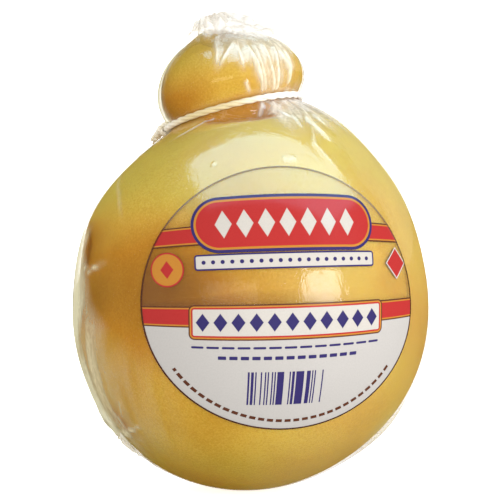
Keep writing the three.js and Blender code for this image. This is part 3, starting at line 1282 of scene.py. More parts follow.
@dataclass
class Cheese:
    """The cheese itself, one lump with body, neck and head."""

    form: PearForm
    film: LooseFilm
    crease: NeckCrease
    rings: int = 170
    segments: int = 224
    neck_stretch: float = 0.8
    lump_height: float = 0.0002
    lump_length: float = 0.045
    # The fields below tone the rind: painted top light, painted shade at left, neck and head, random
    # patches.
    shade_way: Triple = (-0.93, -0.36, 0.0)
    shade_height: float = 0.073
    shade_reach: float = 0.025
    shade_slope: Pair = (-0.1, 1.0)
    shade_tone: float = 0.55
    golden_slope: Pair = (0.62, 0.08)
    golden_tone: float = 0.3
    less_shade_angle: float = 52.0
    less_shade_turn: float = 30.0
    less_shade_heights: Pair = (0.071, 0.058)
    less_shade_share: float = 0.75
    head_tone: float = 0.16
    head_slope: Pair = (0.2, 1.0)
    head_left_shade: float = 0.08
    head_foot: Pair = (0.022, 0.002)
    head_foot_shade: float = 0.46
    head_foot_right: float = 0.25
    neck_reach: float = 0.005
    neck_shade: float = 0.55
    crease_shade: float = 0.66
    patch_length: float = 0.03
    patch_tone: float = 0.05
    dark_spot_place: Triple = (-0.046, -0.0257, 0.027)
    dark_spot_reach: float = 0.006
    dark_spot_tone: float = 0.4
    seed: int = 11

    def build(self) -> Piece:
        """Makes the mesh, just inside the film.

        Returns:
            The cheese.
        """
        heights = self.form.spaced_heights(self.rings, self.neck_stretch)
        angles = np.arange(self.segments) * TAU / self.segments
        inside = self.crease.depth(self.form, heights, angles)
        grid = self.form.points(heights, angles, -inside)
        crown = self.form.ring_frames(np.array([self.form.crown_height]))[0][0]
        piece = MeshMaker.closed_loft("cheese", grid, np.zeros(3), crown)
        gaps = self.film.gap(self.form, heights, angles)
        inwards = MeshMaker.with_ends(gaps, self.film.tight, self.film.tight)
        points = MeshMaker.positions(piece)
        lumps = self.lump_height * (ripples(points, self.lump_length, self.seed) - 1.0)
        MeshMaker.push_out(piece, np.minimum(lumps, 0.0) - inwards + self.form.nub(points))
        in_crease = MeshMaker.with_ends(self.crease.share(inside))
        # Painted shade: the neck crease is toned amber.
        tone = np.maximum(self.tone_and_shade(piece), self.crease_shade * in_crease)
        MeshMaker.carry(piece, Layer.TINT_AND_SHADE, tone)
        return piece

    def tone_and_shade(self, piece: Piece) -> Array:
        """Rind tone, painted light and shade: lemon on shoulders, golden below, amber at neck, brown at
        left.

        Args:
            piece: The cheese.

        Returns:
            One share for each point.
        """
        points = MeshMaker.positions(piece)
        normals = MeshMaker.normals(piece)
        leftwards = normals @ np.array(self.shade_way)
        middle, to_right, to_back = self.form.ring_frames(np.array([self.form.neck_height]))
        from_neck = (points - middle[0]) @ np.cross(to_right[0], to_back[0])
        # Painted shade in a band round the neck, under the head.
        crease = self.neck_shade * bell(from_neck / self.neck_reach)
        level = bell((points[:, 2] - self.shade_height) / self.shade_reach)
        # Painted top light: lemon where the rind faces up, golden on its sides and underside.
        body = self.golden_tone * smooth_step(*self.golden_slope, normals[:, 2])
        # Painted shade on sides that face left, in a band at mid height, weaker low at the left side.
        aside = np.degrees(np.arctan2(np.abs(points[:, 1]), self.form.bulge_right - points[:, 0]))
        less_shade = np.clip((self.less_shade_angle - aside) / self.less_shade_turn, 0.0, 1.0)
        less_shade *= self.less_shade_share * smooth_step(*self.less_shade_heights, points[:, 2])
        body += self.shade_tone * smooth_step(*self.shade_slope, leftwards) * level * (1.0 - less_shade)
        # A darker, more amber spot low at the front left.
        from_dark_spot = np.linalg.norm(points - np.array(self.dark_spot_place), axis=1)
        body += self.dark_spot_tone * bell(from_dark_spot / self.dark_spot_reach)
        # Painted shade on the head: more on its left side and at its foot, under the bulge.
        side = smooth_step(*self.head_slope, leftwards)
        head = self.head_tone + self.head_left_shade * side
        foot = self.head_foot_shade * smooth_step(*self.head_foot, from_neck)
        head += foot * (self.head_foot_right + (1.0 - self.head_foot_right) * side)
        tone = np.where(from_neck > 0.0, head, body)
        patches = self.patch_tone * ripples(points, self.patch_length, self.seed + 1)
        return np.clip(np.maximum(tone + patches, crease), 0.0, 1.0)

    def dress(self, piece: Piece) -> None:
        """Gives the cheese its rind."""
        settle(piece, RindFinish().material(), Slot.CHEESE, Node.BAG)


@dataclass(frozen=True)
class Fold:
    """One fold of the film, in millimetres, along a path of ring angles in degrees and heights."""

    path: tuple[Pair, ...]
    width: float = 0.8
    rise: float = 0.8
    haze: float = 0.9
    fade: float = 0.35
    start: float = 0.12
    sharpness: float = 1.5
    least: float = 0.15

    def closeness(self, form: PearForm, heights: Array, angles: Array) -> Array:
        """How near the fold's ridge each place lies.

        Args:
            form: The outer form.
            heights: Heights along the spine.
            angles: Angles round the spine.

        Returns:
            A grid of shares, 1 on the ridge, one row for each height.
        """
        corners = [(math.radians(angle), height * MILLIMETRE) for angle, height in self.path]
        arcs = form.arcs(heights)[:, None]
        nearest = np.full((len(heights), len(angles)), np.inf)
        along = np.zeros_like(nearest)
        for step, (start, end) in enumerate(zip(corners, corners[1:])):
            tops = np.array([start[1], end[1]])
            low, high = form.arcs(tops)
            radius = float(form.radius(tops).mean())
            across = turn_between(angles, start[0])[None, :] * radius
            run = np.array([float(turn_between(np.array(end[0]), start[0])) * radius, high - low])
            share = np.clip((across * run[0] + (arcs - low) * run[1]) / (run @ run), 0.0, 1.0)
            far = np.hypot(across - share * run[0], arcs - low - share * run[1])
            closer = far < nearest
            nearest = np.where(closer, far, nearest)
            along = np.where(closer, (step + share) / (len(corners) - 1), along)
        taper = plateau((0.0, self.start, 1.0 - self.fade, 1.0), along)
        strength = self.least + (1.0 - self.least) * taper
        return np.exp(-((nearest / (self.width * MILLIMETRE)) ** self.sharpness)) * strength


@dataclass(frozen=True)
class FoldRow:
    """How a row of like folds is drawn: angles and sway in degrees, sizes in millimetres."""

    first: float
    last: float
    count: int
    sway: float
    least: Pair
    most: Pair
    haze: Pair

    def angles(self) -> Array:
        """The angles that the folds lie about."""
        return np.linspace(self.first, self.last, self.count)

    def sways(self, draw: np.random.Generator, count: int) -> Array:
        """Draws how far a fold strays aside, at some of its points."""
        return draw.uniform(-self.sway, self.sway, count)

    def fold(self, draw: np.random.Generator, path: tuple[Pair, ...]) -> Fold:
        """Draws a fold along a path."""
        sizes = draw.uniform(self.least, self.most)
        return Fold(path, *sizes, draw.uniform(*self.haze))


@dataclass
class FilmBag:
    """The clear bag drawn over the cheese, with its folds, creases and slack."""

    form: PearForm
    crease: NeckCrease
    rings: int = 214
    segments: int = 384
    neck_stretch: float = 1.4
    seed: int = 23
    corner_angle: float = math.radians(180.0)
    corner_height: float = 0.020
    corner_depth: float = 0.0026
    corner_spread: float = 0.011
    corner_crumple: float = 0.0011
    corner_length: float = 0.011
    corner_haze: float = 0.4
    corner_range: Pair = (0.05, 0.5)
    corner_crease: float = 0.25
    rim_angle: float = math.radians(0.0)
    rim_turn: float = math.radians(28.0)
    rim_height: float = 0.022
    rim_spread: float = 0.013
    rim_depth: float = 0.0017
    rim_haze: float = 0.4
    rim_range: Pair = (0.1, 0.8)
    press_height: float = 0.0016
    press_share: float = 0.85
    front_share: float = 0.42
    far_angle: float = math.radians(75.0)
    veil_sink: float = 0.04
    wrinkle_turn: float = 6.0
    wrinkle_length: float = 0.03
    wrinkle_share: float = 0.28
    wrinkle_limits: Pair = (0.4, 1.2)
    crease_crumple: float = 0.00025
    crease_length: float = 0.006
    crease_clear: float = 0.9
    warm_heights: Pair = (0.141, 0.126)
    warm_turns: Pair = (math.radians(62.0), math.radians(45.0))
    head_warmth: float = 0.5
    head_heights: Ramp = (0.141, 0.146, 0.165, 0.173)
    foot_heights: Pair = (0.010, 0.026)
    broad_share: float = 0.2
    broad_heights: Pair = (0.062, 0.044)
    broad_turns: Pair = (72.0, 30.0)
    body_top: Pair = (0.105, 0.097)
    head_foot: Pair = (0.139, 0.143)
    head_top: Pair = (0.1735, 0.170)
    streak_turn: float = 9.0
    streak_share: float = 0.28
    crown_least: float = 0.35
    crown_white: float = 0.45
    crown_heights: Pair = (0.155, 0.170)
    crown_below: float = 0.001
    crown_above: float = 0.004
    gather_height: float = 0.137
    gather_spread: float = 0.0075
    gather_turns: Ramp = (-78.0, -60.0, -10.0, 40.0)
    gather_least: float = 0.55
    # The next two veils are painted sheen: faint whiteness over the shoulders and the body's front
    # right.
    upper_heights: Ramp = (0.094, 0.128, 0.140, 0.149)
    upper_turns: Ramp = (-135.0, -85.0, -10.0, 70.0)
    upper_share: float = 0.03
    upper_front: float = 0.06
    pale_heights: Pair = (0.140, 0.130)
    pale_turns: Ramp = (-105.0, -50.0, -20.0, 40.0)
    pale_share: float = 0.07
    head_row: FoldRow = FoldRow(12.0, 168.0, 13, 7.0, (0.6, 0.5), (1.2, 1.0), (0.5, 0.9))
    head_row_drop: Pair = (6.0, 12.0)
    head_row_foot: Pair = (2.0, 5.0)
    head_row_bend: float = 12.0
    neck_row: FoldRow = FoldRow(-10.0, 172.0, 12, 8.0, (0.7, 0.5), (1.3, 1.1), (0.45, 0.85))
    neck_row_start: float = 1.0
    neck_row_bend: float = 8.0
    neck_row_ends: Triple = (12.0, 18.0, 30.0)
    neck_row_stray: Pair = (-3.0, 3.0)
    pinch_row: FoldRow = FoldRow(-18.0, 176.0, 26, 2.5, (0.4, 0.2), (0.8, 0.6), (0.3, 0.6))
    pinch_reach: Pair = (3.0, 7.0)
    left_edge: tuple[Triple, ...] = (
        (0.032, 34.0, 25.0), (0.050, 37.0, 25.0), (0.063, 42.0, 27.0), (0.072, 32.0, 15.0),
        (0.084, 28.0, 13.0), (0.092, 22.5, 9.0),
        (0.140, 34.0, 30.0), (0.148, 28.0, 20.0), (0.156, 29.0, 20.0), (0.166, 42.0, 28.0),
    )
    crown_edge: tuple[Triple, ...] = (
        (-180.0, 172.0, 0.3), (-135.0, 170.0, 0.3), (-116.0, 171.5, 0.4), (-103.0, 171.0, 0.5),
        (-97.0, 158.0, 0.1), (-88.0, 159.5, 0.15), (-81.0, 156.5, 0.45), (-69.0, 153.0, 0.5),
        (-64.0, 145.0, 0.5), (-50.0, 144.0, 0.6), (-38.5, 146.0, 0.6), (-30.0, 156.0, 0.45),
        (-15.0, 164.0, 0.4), (60.0, 160.0, 0.45), (120.0, 163.0, 0.4), (180.0, 172.0, 0.3),
    )
    front_folds: tuple[Fold, ...] = (
        Fold(((-104.0, 171.0), (-99.5, 163.8), (-100.0, 156.5)), 1.0, 0.6, 0.65),
        Fold(((-82.0, 168.0), (-92.0, 161.9), (-99.5, 156.5)), 1.0, 0.7, 0.8),
        Fold(((-80.0, 168.0), (-80.5, 161.3), (-79.0, 154.5)), 0.8, 0.6),
        Fold(((-73.0, 166.0), (-67.5, 156.3), (-63.8, 144.6)), 0.6, 0.8, 0.9, 0.1),
        Fold(((-65.5, 166.0), (-64.8, 156.9), (-60.8, 144.6)), 0.9, 0.6, 0.7, 0.1),
        Fold(((-57.0, 166.0), (-57.2, 155.7), (-52.5, 144.6)), 0.8, 0.8, 0.9, 0.1),
        Fold(((-46.5, 164.5), (-50.8, 155.3), (-50.0, 144.6)), 0.9, 0.9, 0.9, 0.1),
        Fold(((-37.5, 163.0), (-36.0, 156.1), (-38.5, 146.0)), 1.0, 0.8, 0.8, 0.15),
        Fold(((-79.0, 150.5), (-75.0, 145.2)), 0.7, 0.5, 0.6),
        Fold(((-64.0, 142.2), (-69.5, 135.6)), 1.0, 0.7, 0.75),
        Fold(((-55.0, 142.0), (-60.3, 136.6), (-53.0, 133.5)), 1.2, 0.8, 0.8),
        Fold(((-47.0, 142.0), (-54.0, 134.5), (-55.0, 129.0)), 0.8, 0.8, 0.7),
        Fold(((-41.8, 142.2), (-48.5, 135.8), (-52.8, 130.5)), 1.3, 1.0, 0.8),
        Fold(((-33.5, 142.0), (-47.2, 132.9), (-46.5, 128.2), (-43.5, 123.0)), 1.3, 1.1),
        Fold(((-31.5, 141.5), (-38.5, 134.2), (-37.0, 127.0)), 1.2, 1.0, 0.8),
        Fold(((-47.5, 132.0), (-55.0, 124.0), (-53.2, 119.5), (-49.5, 113.5)), 0.7, 0.5, 0.6),
        Fold(((-24.0, 142.0), (-28.0, 134.0), (-24.0, 124.0)), 1.0, 0.9, 0.7),
        Fold(((-107.0, 139.9), (-119.5, 137.0), (-133.0, 133.8)), 0.6, 0.3, 0.7),
        Fold(((-54.0, 142.0), (-61.5, 136.8), (-62.0, 132.0)), 1.6, 0.6, 0.8),
        Fold(((-44.0, 142.2), (-51.2, 136.0), (-53.0, 130.0)), 1.7, 0.7, 0.85),
        Fold(((-36.0, 142.0), (-43.0, 135.6), (-52.0, 124.0)), 1.5, 0.8, 0.85),
        Fold(((-84.0, 168.0), (-80.0, 161.0), (-79.5, 155.0)), 1.4, 0.4, 0.7),
        Fold(((-72.5, 165.0), (-69.0, 156.3), (-64.5, 146.6)), 1.3, 0.5, 0.75),
        Fold(((-46.0, 168.0), (-42.5, 160.7), (-34.5, 151.0)), 2.6, 0.6, 0.85, 0.2),
        Fold(((-166.0, 128.0), (-145.2, 114.3), (-137.0, 103.5)), 0.9, 0.3, 0.3),
        Fold(((-158.0, 85.6), (-152.5, 83.6), (-148.3, 85.0), (-142.5, 86.4)), 0.8, 0.6, 0.75),
        Fold(((-154.5, 35.0), (-149.0, 29.4), (-147.5, 21.0)), 0.8, 0.5, 0.8),
        Fold(((-166.0, 25.0), (-150.0, 23.6), (-133.0, 27.4)), 0.9, 0.6, 0.95),
        Fold(((-142.0, 37.0), (-145.0, 30.4), (-165.0, 21.6)), 0.6, 0.4, 0.5),
        Fold(((-164.0, 30.0), (-154.0, 22.4), (-138.0, 20.8)), 0.7, 0.5, 0.8),
        # The last two folds are small blisters whose whiteness is a painted glint.
        Fold(((-73.5, 119.9), (-70.0, 119.8), (-66.5, 119.3)), 1.6, 0.3, 0.6),
        Fold(((-102.5, 121.2), (-100.0, 120.4)), 1.2, 0.3, 0.55),
    )

    def far_folds(self) -> list[Fold]:
        """The folds round the sides and back, drawn from a seed.

        Returns:
            Gathers down the head, gathers below the cord, and short pinches across it.
        """
        draw = np.random.default_rng(self.seed)
        neck = self.form.neck_height / MILLIMETRE
        crown = self.form.crown_height / MILLIMETRE
        made = []
        for angle in self.head_row.angles():
            bend, drift = self.head_row.sways(draw, 2)
            top = (angle + bend, crown - draw.uniform(*self.head_row_drop))
            low = (angle + drift, neck + draw.uniform(*self.head_row_foot))
            made.append(self.head_row.fold(draw, (top, (angle, neck + self.head_row_bend), low)))
        for angle in self.neck_row.angles():
            bend, drift = self.neck_row.sways(draw, 2)
            end = neck - draw.choice(self.neck_row_ends) + draw.uniform(*self.neck_row_stray)
            high = (angle, neck - self.neck_row_start)
            bent = (angle + bend, neck - self.neck_row_bend)
            made.append(self.neck_row.fold(draw, (high, bent, (angle + drift, end))))
        for angle in self.pinch_row.angles():
            angle += self.pinch_row.sways(draw, 1)[0]
            high = (angle, neck + draw.uniform(*self.pinch_reach))
            low = (angle, neck - draw.uniform(*self.pinch_reach))
            made.append(self.pinch_row.fold(draw, (high, low)))
        return made

    def folds(self, heights: Array, angles: Array) -> tuple[Array, Array]:
        """How far the folds stand out, and how white they are.

        Args:
            heights: Heights along the spine.
            angles: Angles round the spine.

        Returns:
            A grid of distances and a grid of shares, one row for each height.
        """
        rise = np.zeros((len(heights), len(angles)))
        haze = np.zeros_like(rise)
        for fold in (*self.front_folds, *self.far_folds()):
            ridge = fold.closeness(self.form, heights, angles)
            rise = np.maximum(rise, fold.rise * MILLIMETRE * ridge)
            haze = np.maximum(haze, fold.haze * ridge)
        from_cord = (heights - self.form.neck_height) / self.press_height
        pressed = 1.0 - self.press_share * bell(from_cord)
        return rise * pressed[:, None], haze

    def left_veil(self, level: Array, angles: Array) -> Array:
        """The slack film's whitish veil at the left of body and head, partly a painted edge reflection.

        Args:
            level: A column of heights along the spine.
            angles: Angles round the spine.

        Returns:
            A grid of shares, one row for each height.
        """
        turns = np.degrees(turn_between(angles, 0.0))[None, :]
        aside = 180.0 - np.abs(turns)
        foot = smooth_step(*self.foot_heights, level)
        edges = np.array(self.left_edge)
        reach, width = (np.interp(level, edges[:, 0], edges[:, column]) for column in (1, 2))
        broad = smooth_step(*self.broad_heights, level) * smooth_step(*self.broad_turns, aside)
        behind = behind_left(angles)[None, :]
        on_body = smooth_step(*self.body_top, level + self.veil_sink * behind)
        on_head = smooth_step(*self.head_foot, level)
        ends = smooth_step(*self.head_top, level) * np.maximum(on_body, on_head)
        near = np.clip((reach - aside) / width, 0.0, 1.0)
        left = np.clip(near * foot * ends + self.broad_share * foot * broad, 0.0, 1.0)
        spots = np.broadcast_arrays(turns / self.wrinkle_turn, level / self.wrinkle_length, 0.0)
        wrinkles = ripples(np.stack(spots, axis=-1), 1.0, self.seed + 4)
        # Being partly a painted reflection seen from the front, the veil fades behind the left edge.
        return left * (1.0 - behind) * np.clip(1.0 - self.wrinkle_share * wrinkles, *self.wrinkle_limits)

    def veil(self, heights: Array, angles: Array) -> Array:
        """Broad whitish veils: slack film at left, gathered film at crown, neck and shoulders, painted
        sheen.

        Args:
            heights: Heights along the spine.
            angles: Angles round the spine.

        Returns:
            A grid of shares, one row for each height.
        """
        level = heights[:, None]
        turns = np.degrees(turn_between(angles, 0.0))
        left = self.left_veil(level, angles)
        corners = np.array(self.crown_edge)
        edge = np.interp(turns, corners[:, 0], corners[:, 1] * MILLIMETRE)
        most = np.interp(turns, corners[:, 0], corners[:, 2])
        still = np.zeros_like(turns)
        strips = ripples(np.stack([turns / self.streak_turn, still, still], axis=-1), 1.0, self.seed + 3)
        streaks = 1.0 - self.streak_share + self.streak_share * strips
        most = most * np.clip(streaks, self.crown_least, 1.0)
        most = most + self.crown_white * smooth_step(*self.crown_heights, level)
        crown = smooth_step(edge - self.crown_below, edge + self.crown_above, level)
        crown = crown * np.clip(most, 0.0, 1.0)
        gathers = bell((level - self.gather_height) / self.gather_spread)
        shoulder = gathers * plateau(self.gather_turns, turns) * np.clip(streaks, self.gather_least, 1.0)
        # Painted sheen: faint whiteness over the shoulders and the front right, standing in for
        # reflections.
        upper = self.upper_share + self.upper_front * plateau(self.upper_turns, turns)
        upper = plateau(self.upper_heights, level) * upper
        pale = self.pale_share * plateau(self.pale_turns, turns) * smooth_step(*self.pale_heights, level)
        return np.maximum.reduce([left, crown, shoulder, np.maximum(upper, pale)])

    def build(self) -> Piece:
        """Makes the mesh.

        Returns:
            The bag.
        """
        heights = self.form.spaced_heights(self.rings, self.neck_stretch)
        turns = np.arange(self.segments) * TAU / self.segments
        angles = turns + self.front_share * np.sin(turns - self.far_angle)
        leftmost = np.abs(turn_between(angles, self.corner_angle))[None, :]
        aside = self.form.radius(heights)[:, None] * leftmost
        from_corner = ((heights[:, None] - self.corner_height) ** 2 + aside**2) / self.corner_spread**2
        corner = np.exp(-from_corner)
        inside = self.crease.depth(self.form, heights, angles)
        from_rim = ((heights[:, None] - self.rim_height) / self.rim_spread) ** 2
        loose = np.exp(-from_rim - (turn_between(angles, self.rim_angle)[None, :] / self.rim_turn) ** 2)
        loosened = self.corner_depth * corner + self.rim_depth * loose
        grid = self.form.points(heights, angles, loosened - inside)
        crown = self.form.ring_frames(np.array([self.form.crown_height]))[0][0]
        piece = MeshMaker.closed_loft("film_bag", grid, np.zeros(3), crown)
        rise, haze = self.folds(heights, angles)
        in_crease = self.crease.share(inside)
        haze = np.maximum(haze, self.veil(heights, angles) * (1.0 - self.crease_clear * in_crease))
        crumple = np.abs(ripples(grid, self.corner_length, self.seed + 1))
        out = rise - self.corner_crumple * crumple * corner
        out += self.crease_crumple * np.abs(ripples(grid, self.crease_length, self.seed + 2)) * in_crease
        creased = self.corner_haze * (1.0 + smooth_step(self.corner_crease, 0.0, crumple))
        haze = np.maximum(haze, creased * smooth_step(*self.corner_range, corner))
        nub = self.form.nub(MeshMaker.positions(piece))
        MeshMaker.push_out(piece, MeshMaker.with_ends(out) + nub)
        haze = np.maximum(haze, self.rim_haze * smooth_step(*self.rim_range, loose))
        MeshMaker.carry(piece, Layer.HAZE_AND_SHEEN, MeshMaker.with_ends(haze))
        # Painted cheese-coloured light: a warm veil below the shoulders, at the left, partly on the
        # head.
        below = smooth_step(*self.warm_heights, heights)[:, None]
        warm = np.maximum(below, smooth_step(*self.warm_turns, leftmost))
        warm = np.maximum(warm, self.head_warmth * plateau(self.head_heights, heights)[:, None])
        MeshMaker.carry(piece, Layer.TINT_AND_SHADE, MeshMaker.with_ends(warm, first=1.0))
        return piece

    def dress(self, piece: Piece) -> None:
        """Gives the bag its film."""
        settle(piece, FilmFinish().material(), Slot.FILM, Node.BAG)


class Wrap:
    """The bag's surface, as something that other pieces are laid on."""

    OUTSIDE = 0.4

    def __init__(self, piece: Piece) -> None:
        """Reads the surface of the bag once."""
        faces = [tuple(polygon.vertices) for polygon in piece.data.polygons]
        self._tree = BVHTree.FromPolygons(MeshMaker.positions(piece).tolist(), faces)

    def laid(self, middle: Array, ways: Array, outwards: Array) -> Array:
        """Points on the surface, seen from a point inside.

        Args:
            middle: The point inside.
            ways: Directions from it, of unit length, on the last axis.
            outwards: How far above the surface each point lies.

        Returns:
            The points, in the shape of ways.
        """
        flat = ways.reshape(-1, 3)
        found = np.empty_like(flat)
        for row, way in enumerate(flat):
            start = Vector(middle + way * self.OUTSIDE)
            found[row] = self._tree.ray_cast(start, Vector(-way))[0]
        above = np.broadcast_to(outwards, ways.shape[:-1]).reshape(-1, 1)
        return (found + flat * above).reshape(ways.shape)


def ways_round(axis: Array, side: Array, up: Array, polar: Array, angle: Array) -> Array:
    """Unit directions at polar angles from an axis, and at angles round it from side by way of up."""
    aside = np.cos(angle)[..., None] * side + np.sin(angle)[..., None] * up
    return np.cos(polar)[..., None] * axis + np.sin(polar)[..., None] * aside


@dataclass(frozen=True)
class Frill:
    """One ragged strip of film that stands along the tuft's crest."""

    depth: float
    length: float
    height: float
    columns: int = 110
    rows: int = 6
    ends: Ramp = (-0.5, -0.38, 0.4, 0.62)
    wave: float = 0.05
    wave_pitch: float = 38.0
    ripple: float = 0.03
    ripple_pitch: float = 91.0
    ragged: float = 0.3
    ragged_pitch: float = 30.0
    lean: float = 0.5
    lean_out: float = 0.10
    full_right: float = 0.2
    foot: float = 0.8


@dataclass
class FilmTuft:
    """The gathered mouth of the bag on the crown: a crumpled crest with a ragged frill."""

    form: PearForm
    tilt_left: float = math.radians(15.0)
    reach: float = math.radians(52.0)
    reach_right: float = 0.22
    rise: float = 0.0066
    rim: float = 0.0003
    spread: float = math.radians(24.0)
    spread_right: float = math.radians(19.0)
    rings: int = 80
    segments: int = 360
    lobe_turn: float = 0.7
    lobe_waves: tuple[int, int] = (3, 9)
    lobe_sizes: Pair = (0.02, 0.06)
    swirl: float = 0.25
    least_spread: float = -0.22
    flat_rim: float = 0.82
    crest_least: float = 0.78
    top_share: float = 0.85
    pleats: int = 21
    pleat_rise: float = 0.0008
    pleat_range: Pair = (0.02, 0.3)
    pleat_strays: Pair = (-0.4, 0.4)
    pleat_bends: Pair = (-0.5, 0.5)
    pleat_widths: Pair = (0.05, 0.13)
    pleat_strengths: Pair = (0.4, 1.0)
    pleat_sharpness: float = 1.5
    crumple_rise: float = 0.0006
    crumple_range: Pair = (0.0, 0.12)
    crumple_length: float = 0.0065
    fine_length: float = 0.003
    fine_share: float = 0.2
    white_reach: float = 0.62
    white_ridge: float = 0.35
    white_right: float = 0.3
    white_turn: float = 0.8
    white_soft: float = 0.22
    white_crumple: float = 0.15
    frill_white: float = 0.85
    frills: tuple[Frill, ...] = (
        Frill(-0.10, 0.42, 0.0011), Frill(0.02, 0.50, 0.0015), Frill(0.14, 0.38, 0.0011),
    )
    warmth: float = 0.08
    clear_left: float = 0.3
    clear_angle: float = math.radians(-152.0)
    seed: int = 37

    def axes(self) -> tuple[Array, Array, Array]:
        """Which way the tuft stands.

        Returns:
            Its axis, and its directions to the right and to the back.
        """
        sine = math.sin(self.tilt_left)
        cosine = math.cos(self.tilt_left)
        axis = np.array([-sine, 0.0, cosine])
        side = np.array([cosine, 0.0, sine])
        return axis, side, np.array([0.0, 1.0, 0.0])

    def build(self, wrap: Wrap) -> Piece:
        """Makes the mesh on the bag.

        Args:
            wrap: The bag's surface.

        Returns:
            The tuft.
        """
        draw = np.random.default_rng(self.seed)
        axis, side, back = self.axes()
        angles = np.arange(self.segments) * TAU / self.segments
        shares = np.linspace(0.0, 1.0, self.rings + 1)[1:]
        share, angle = np.meshgrid(shares, angles, indexing="ij")
        lobes = self.reach_right * np.cos(angles + self.lobe_turn)
        for count in range(*self.lobe_waves):
            size = draw.uniform(*self.lobe_sizes)
            lobes += size * np.sin(count * angles + draw.uniform(0.0, TAU))
        polar = share * self.reach * (1.0 + lobes[None, :])
        ways = ways_round(axis, side, back, polar, angle + self.swirl * share)
        ridge = self.ridges(draw, share, angle)
        crest = self.crest(polar, np.cos(angle))
        fade = smooth_step(1.0, self.flat_rim, share)
        places = ways * self.form.head_radius
        crumple = np.abs(ripples(places, self.crumple_length, self.seed + 1))
        crumple += self.fine_share * np.abs(ripples(places, self.fine_length, self.seed + 2))
        lift = self.pleat_rise * ridge * smooth_step(*self.pleat_range, share)
        lift += self.crumple_rise * crumple * smooth_step(*self.crumple_range, share)
        out = self.rim + crest * (self.crest_least + (1.0 - self.crest_least) * ridge) + lift * fade
        grid = wrap.laid(self.form.head_middle, ways, out)
        top_out = np.array([self.rim + self.top_share * self.rise])
        top = wrap.laid(self.form.head_middle, axis[None, :], top_out)[0]
        points = np.concatenate([grid.reshape(-1, 3), [top]])
        quads = MeshMaker.sheet_faces(self.rings, self.segments, closed=True)[:, ::-1].tolist()
        fan = [(i, (i + 1) % self.segments, len(points) - 1) for i in range(self.segments)]
        end = self.white_reach + self.white_ridge * ridge
        end += self.white_right * np.clip(np.cos(angle + self.white_turn), 0.0, 1.0)
        end -= self.clear_left * np.clip(np.cos(angle - self.clear_angle), 0.0, 1.0)
        white = smooth_step(-self.white_soft, self.white_soft, end - share) * fade
        white *= 1.0 - self.white_crumple * np.clip(crumple, 0.0, 1.0)
        frill_points, frill_faces = self.frill(wrap, len(points))
        whole = np.concatenate([points, frill_points])
        piece = MeshMaker.object("film_tuft_sheet", whole, quads + fan + frill_faces)
        haze = np.concatenate([white.ravel(), [1.0], np.full(len(frill_points), self.frill_white)])
        MeshMaker.carry(piece, Layer.HAZE_AND_SHEEN, haze)
        MeshMaker.carry(piece, Layer.TINT_AND_SHADE, np.full(len(haze), self.warmth))
        return piece

    def crest(self, polar: Array, rightwards: Array) -> Array:
        """How far the crest stands up, by the angle from its axis and the share to the right."""
        spread = self.spread + self.spread_right * np.clip(rightwards, self.least_spread, 1.0)
        return self.rise * bell(polar / spread)

    def ridges(self, draw: np.random.Generator, share: Array, angle: Array) -> Array:
        """Draws the pleats that run out from the crest.

        Args:
            draw: The source of chance.
            share: Shares of the way from the crest to the rim.
            angle: Angles round the axis.

        Returns:
            A grid of shares, 1 on a ridge.
        """
        ridge = np.zeros_like(share)
        for pleat in range(self.pleats):
            middle = TAU * (pleat + draw.uniform(*self.pleat_strays)) / self.pleats
            bend = draw.uniform(*self.pleat_bends)
            width = draw.uniform(*self.pleat_widths)
            aside = np.abs(turn_between(angle, middle + bend * share)) / width
            strength = draw.uniform(*self.pleat_strengths)
            ridge = np.maximum(ridge, strength * np.exp(-(aside**self.pleat_sharpness)))
        return ridge

    def frill(self, wrap: Wrap, start: int) -> tuple[Array, Faces]:
        """The ragged edge of the film, standing along the crest.

        Args:
            wrap: The bag's surface.
            start: Index of the frill's first point.

        Returns:
            The frill's points and faces.
        """
        draw = np.random.default_rng(self.seed + 5)
        axis, side, back = self.axes()
        points: list[Array] = []
        faces: Faces = []
        for strip in self.frills:
            share = np.linspace(strip.ends[0], strip.ends[-1], strip.columns)
            along = share * strip.length
            wave = strip.wave * np.sin(along * strip.wave_pitch + draw.uniform(0.0, TAU))
            wave += strip.ripple * np.sin(along * strip.ripple_pitch)
            teeth = np.abs(np.sin(along * strip.ragged_pitch + draw.uniform(0.0, TAU)))
            ragged = 1.0 - strip.ragged + strip.ragged * teeth
            tall = strip.height * ragged * plateau(strip.ends, share)
            base = axis + along[:, None] * side + (strip.depth + wave)[:, None] * back
            ways = unit(base)
            polar = np.arccos(np.clip(ways @ axis, -1.0, 1.0))
            foot = self.rim + strip.foot * self.crest(polar, along / strip.full_right)
            lean = (strip.lean * wave + strip.lean_out * strip.depth)[:, None] * back
            sheet = []
            for row in np.linspace(0.0, 1.0, strip.rows):
                way = unit(ways + lean * row)
                sheet.append(wrap.laid(self.form.head_middle, way, foot + row * tall))
            first = start + sum(len(part) for part in points)
            faces += MeshMaker.sheet_faces(strip.rows, strip.columns, first).tolist()
            points.append(np.concatenate(sheet))
        return np.concatenate(points), faces

    def dress(self, piece: Piece) -> None:
        """Gives the tuft its film."""
        finish = FilmFinish(
            name="Gathered film",
            faces=0.8,
            most_mirror=0.06,
            sheen=0.02,
            veil=(0.89, 0.85, 0.80),
            shine_through=0.2,
            least_veil=0.02,
            most_veil=0.95,
            crease_share=0.06,
            relief=0.00012,
            stretch=1.0,
            streak_share=0.12,
        )
        settle(piece, finish.material(), Slot.FILM, Node.TUFT)


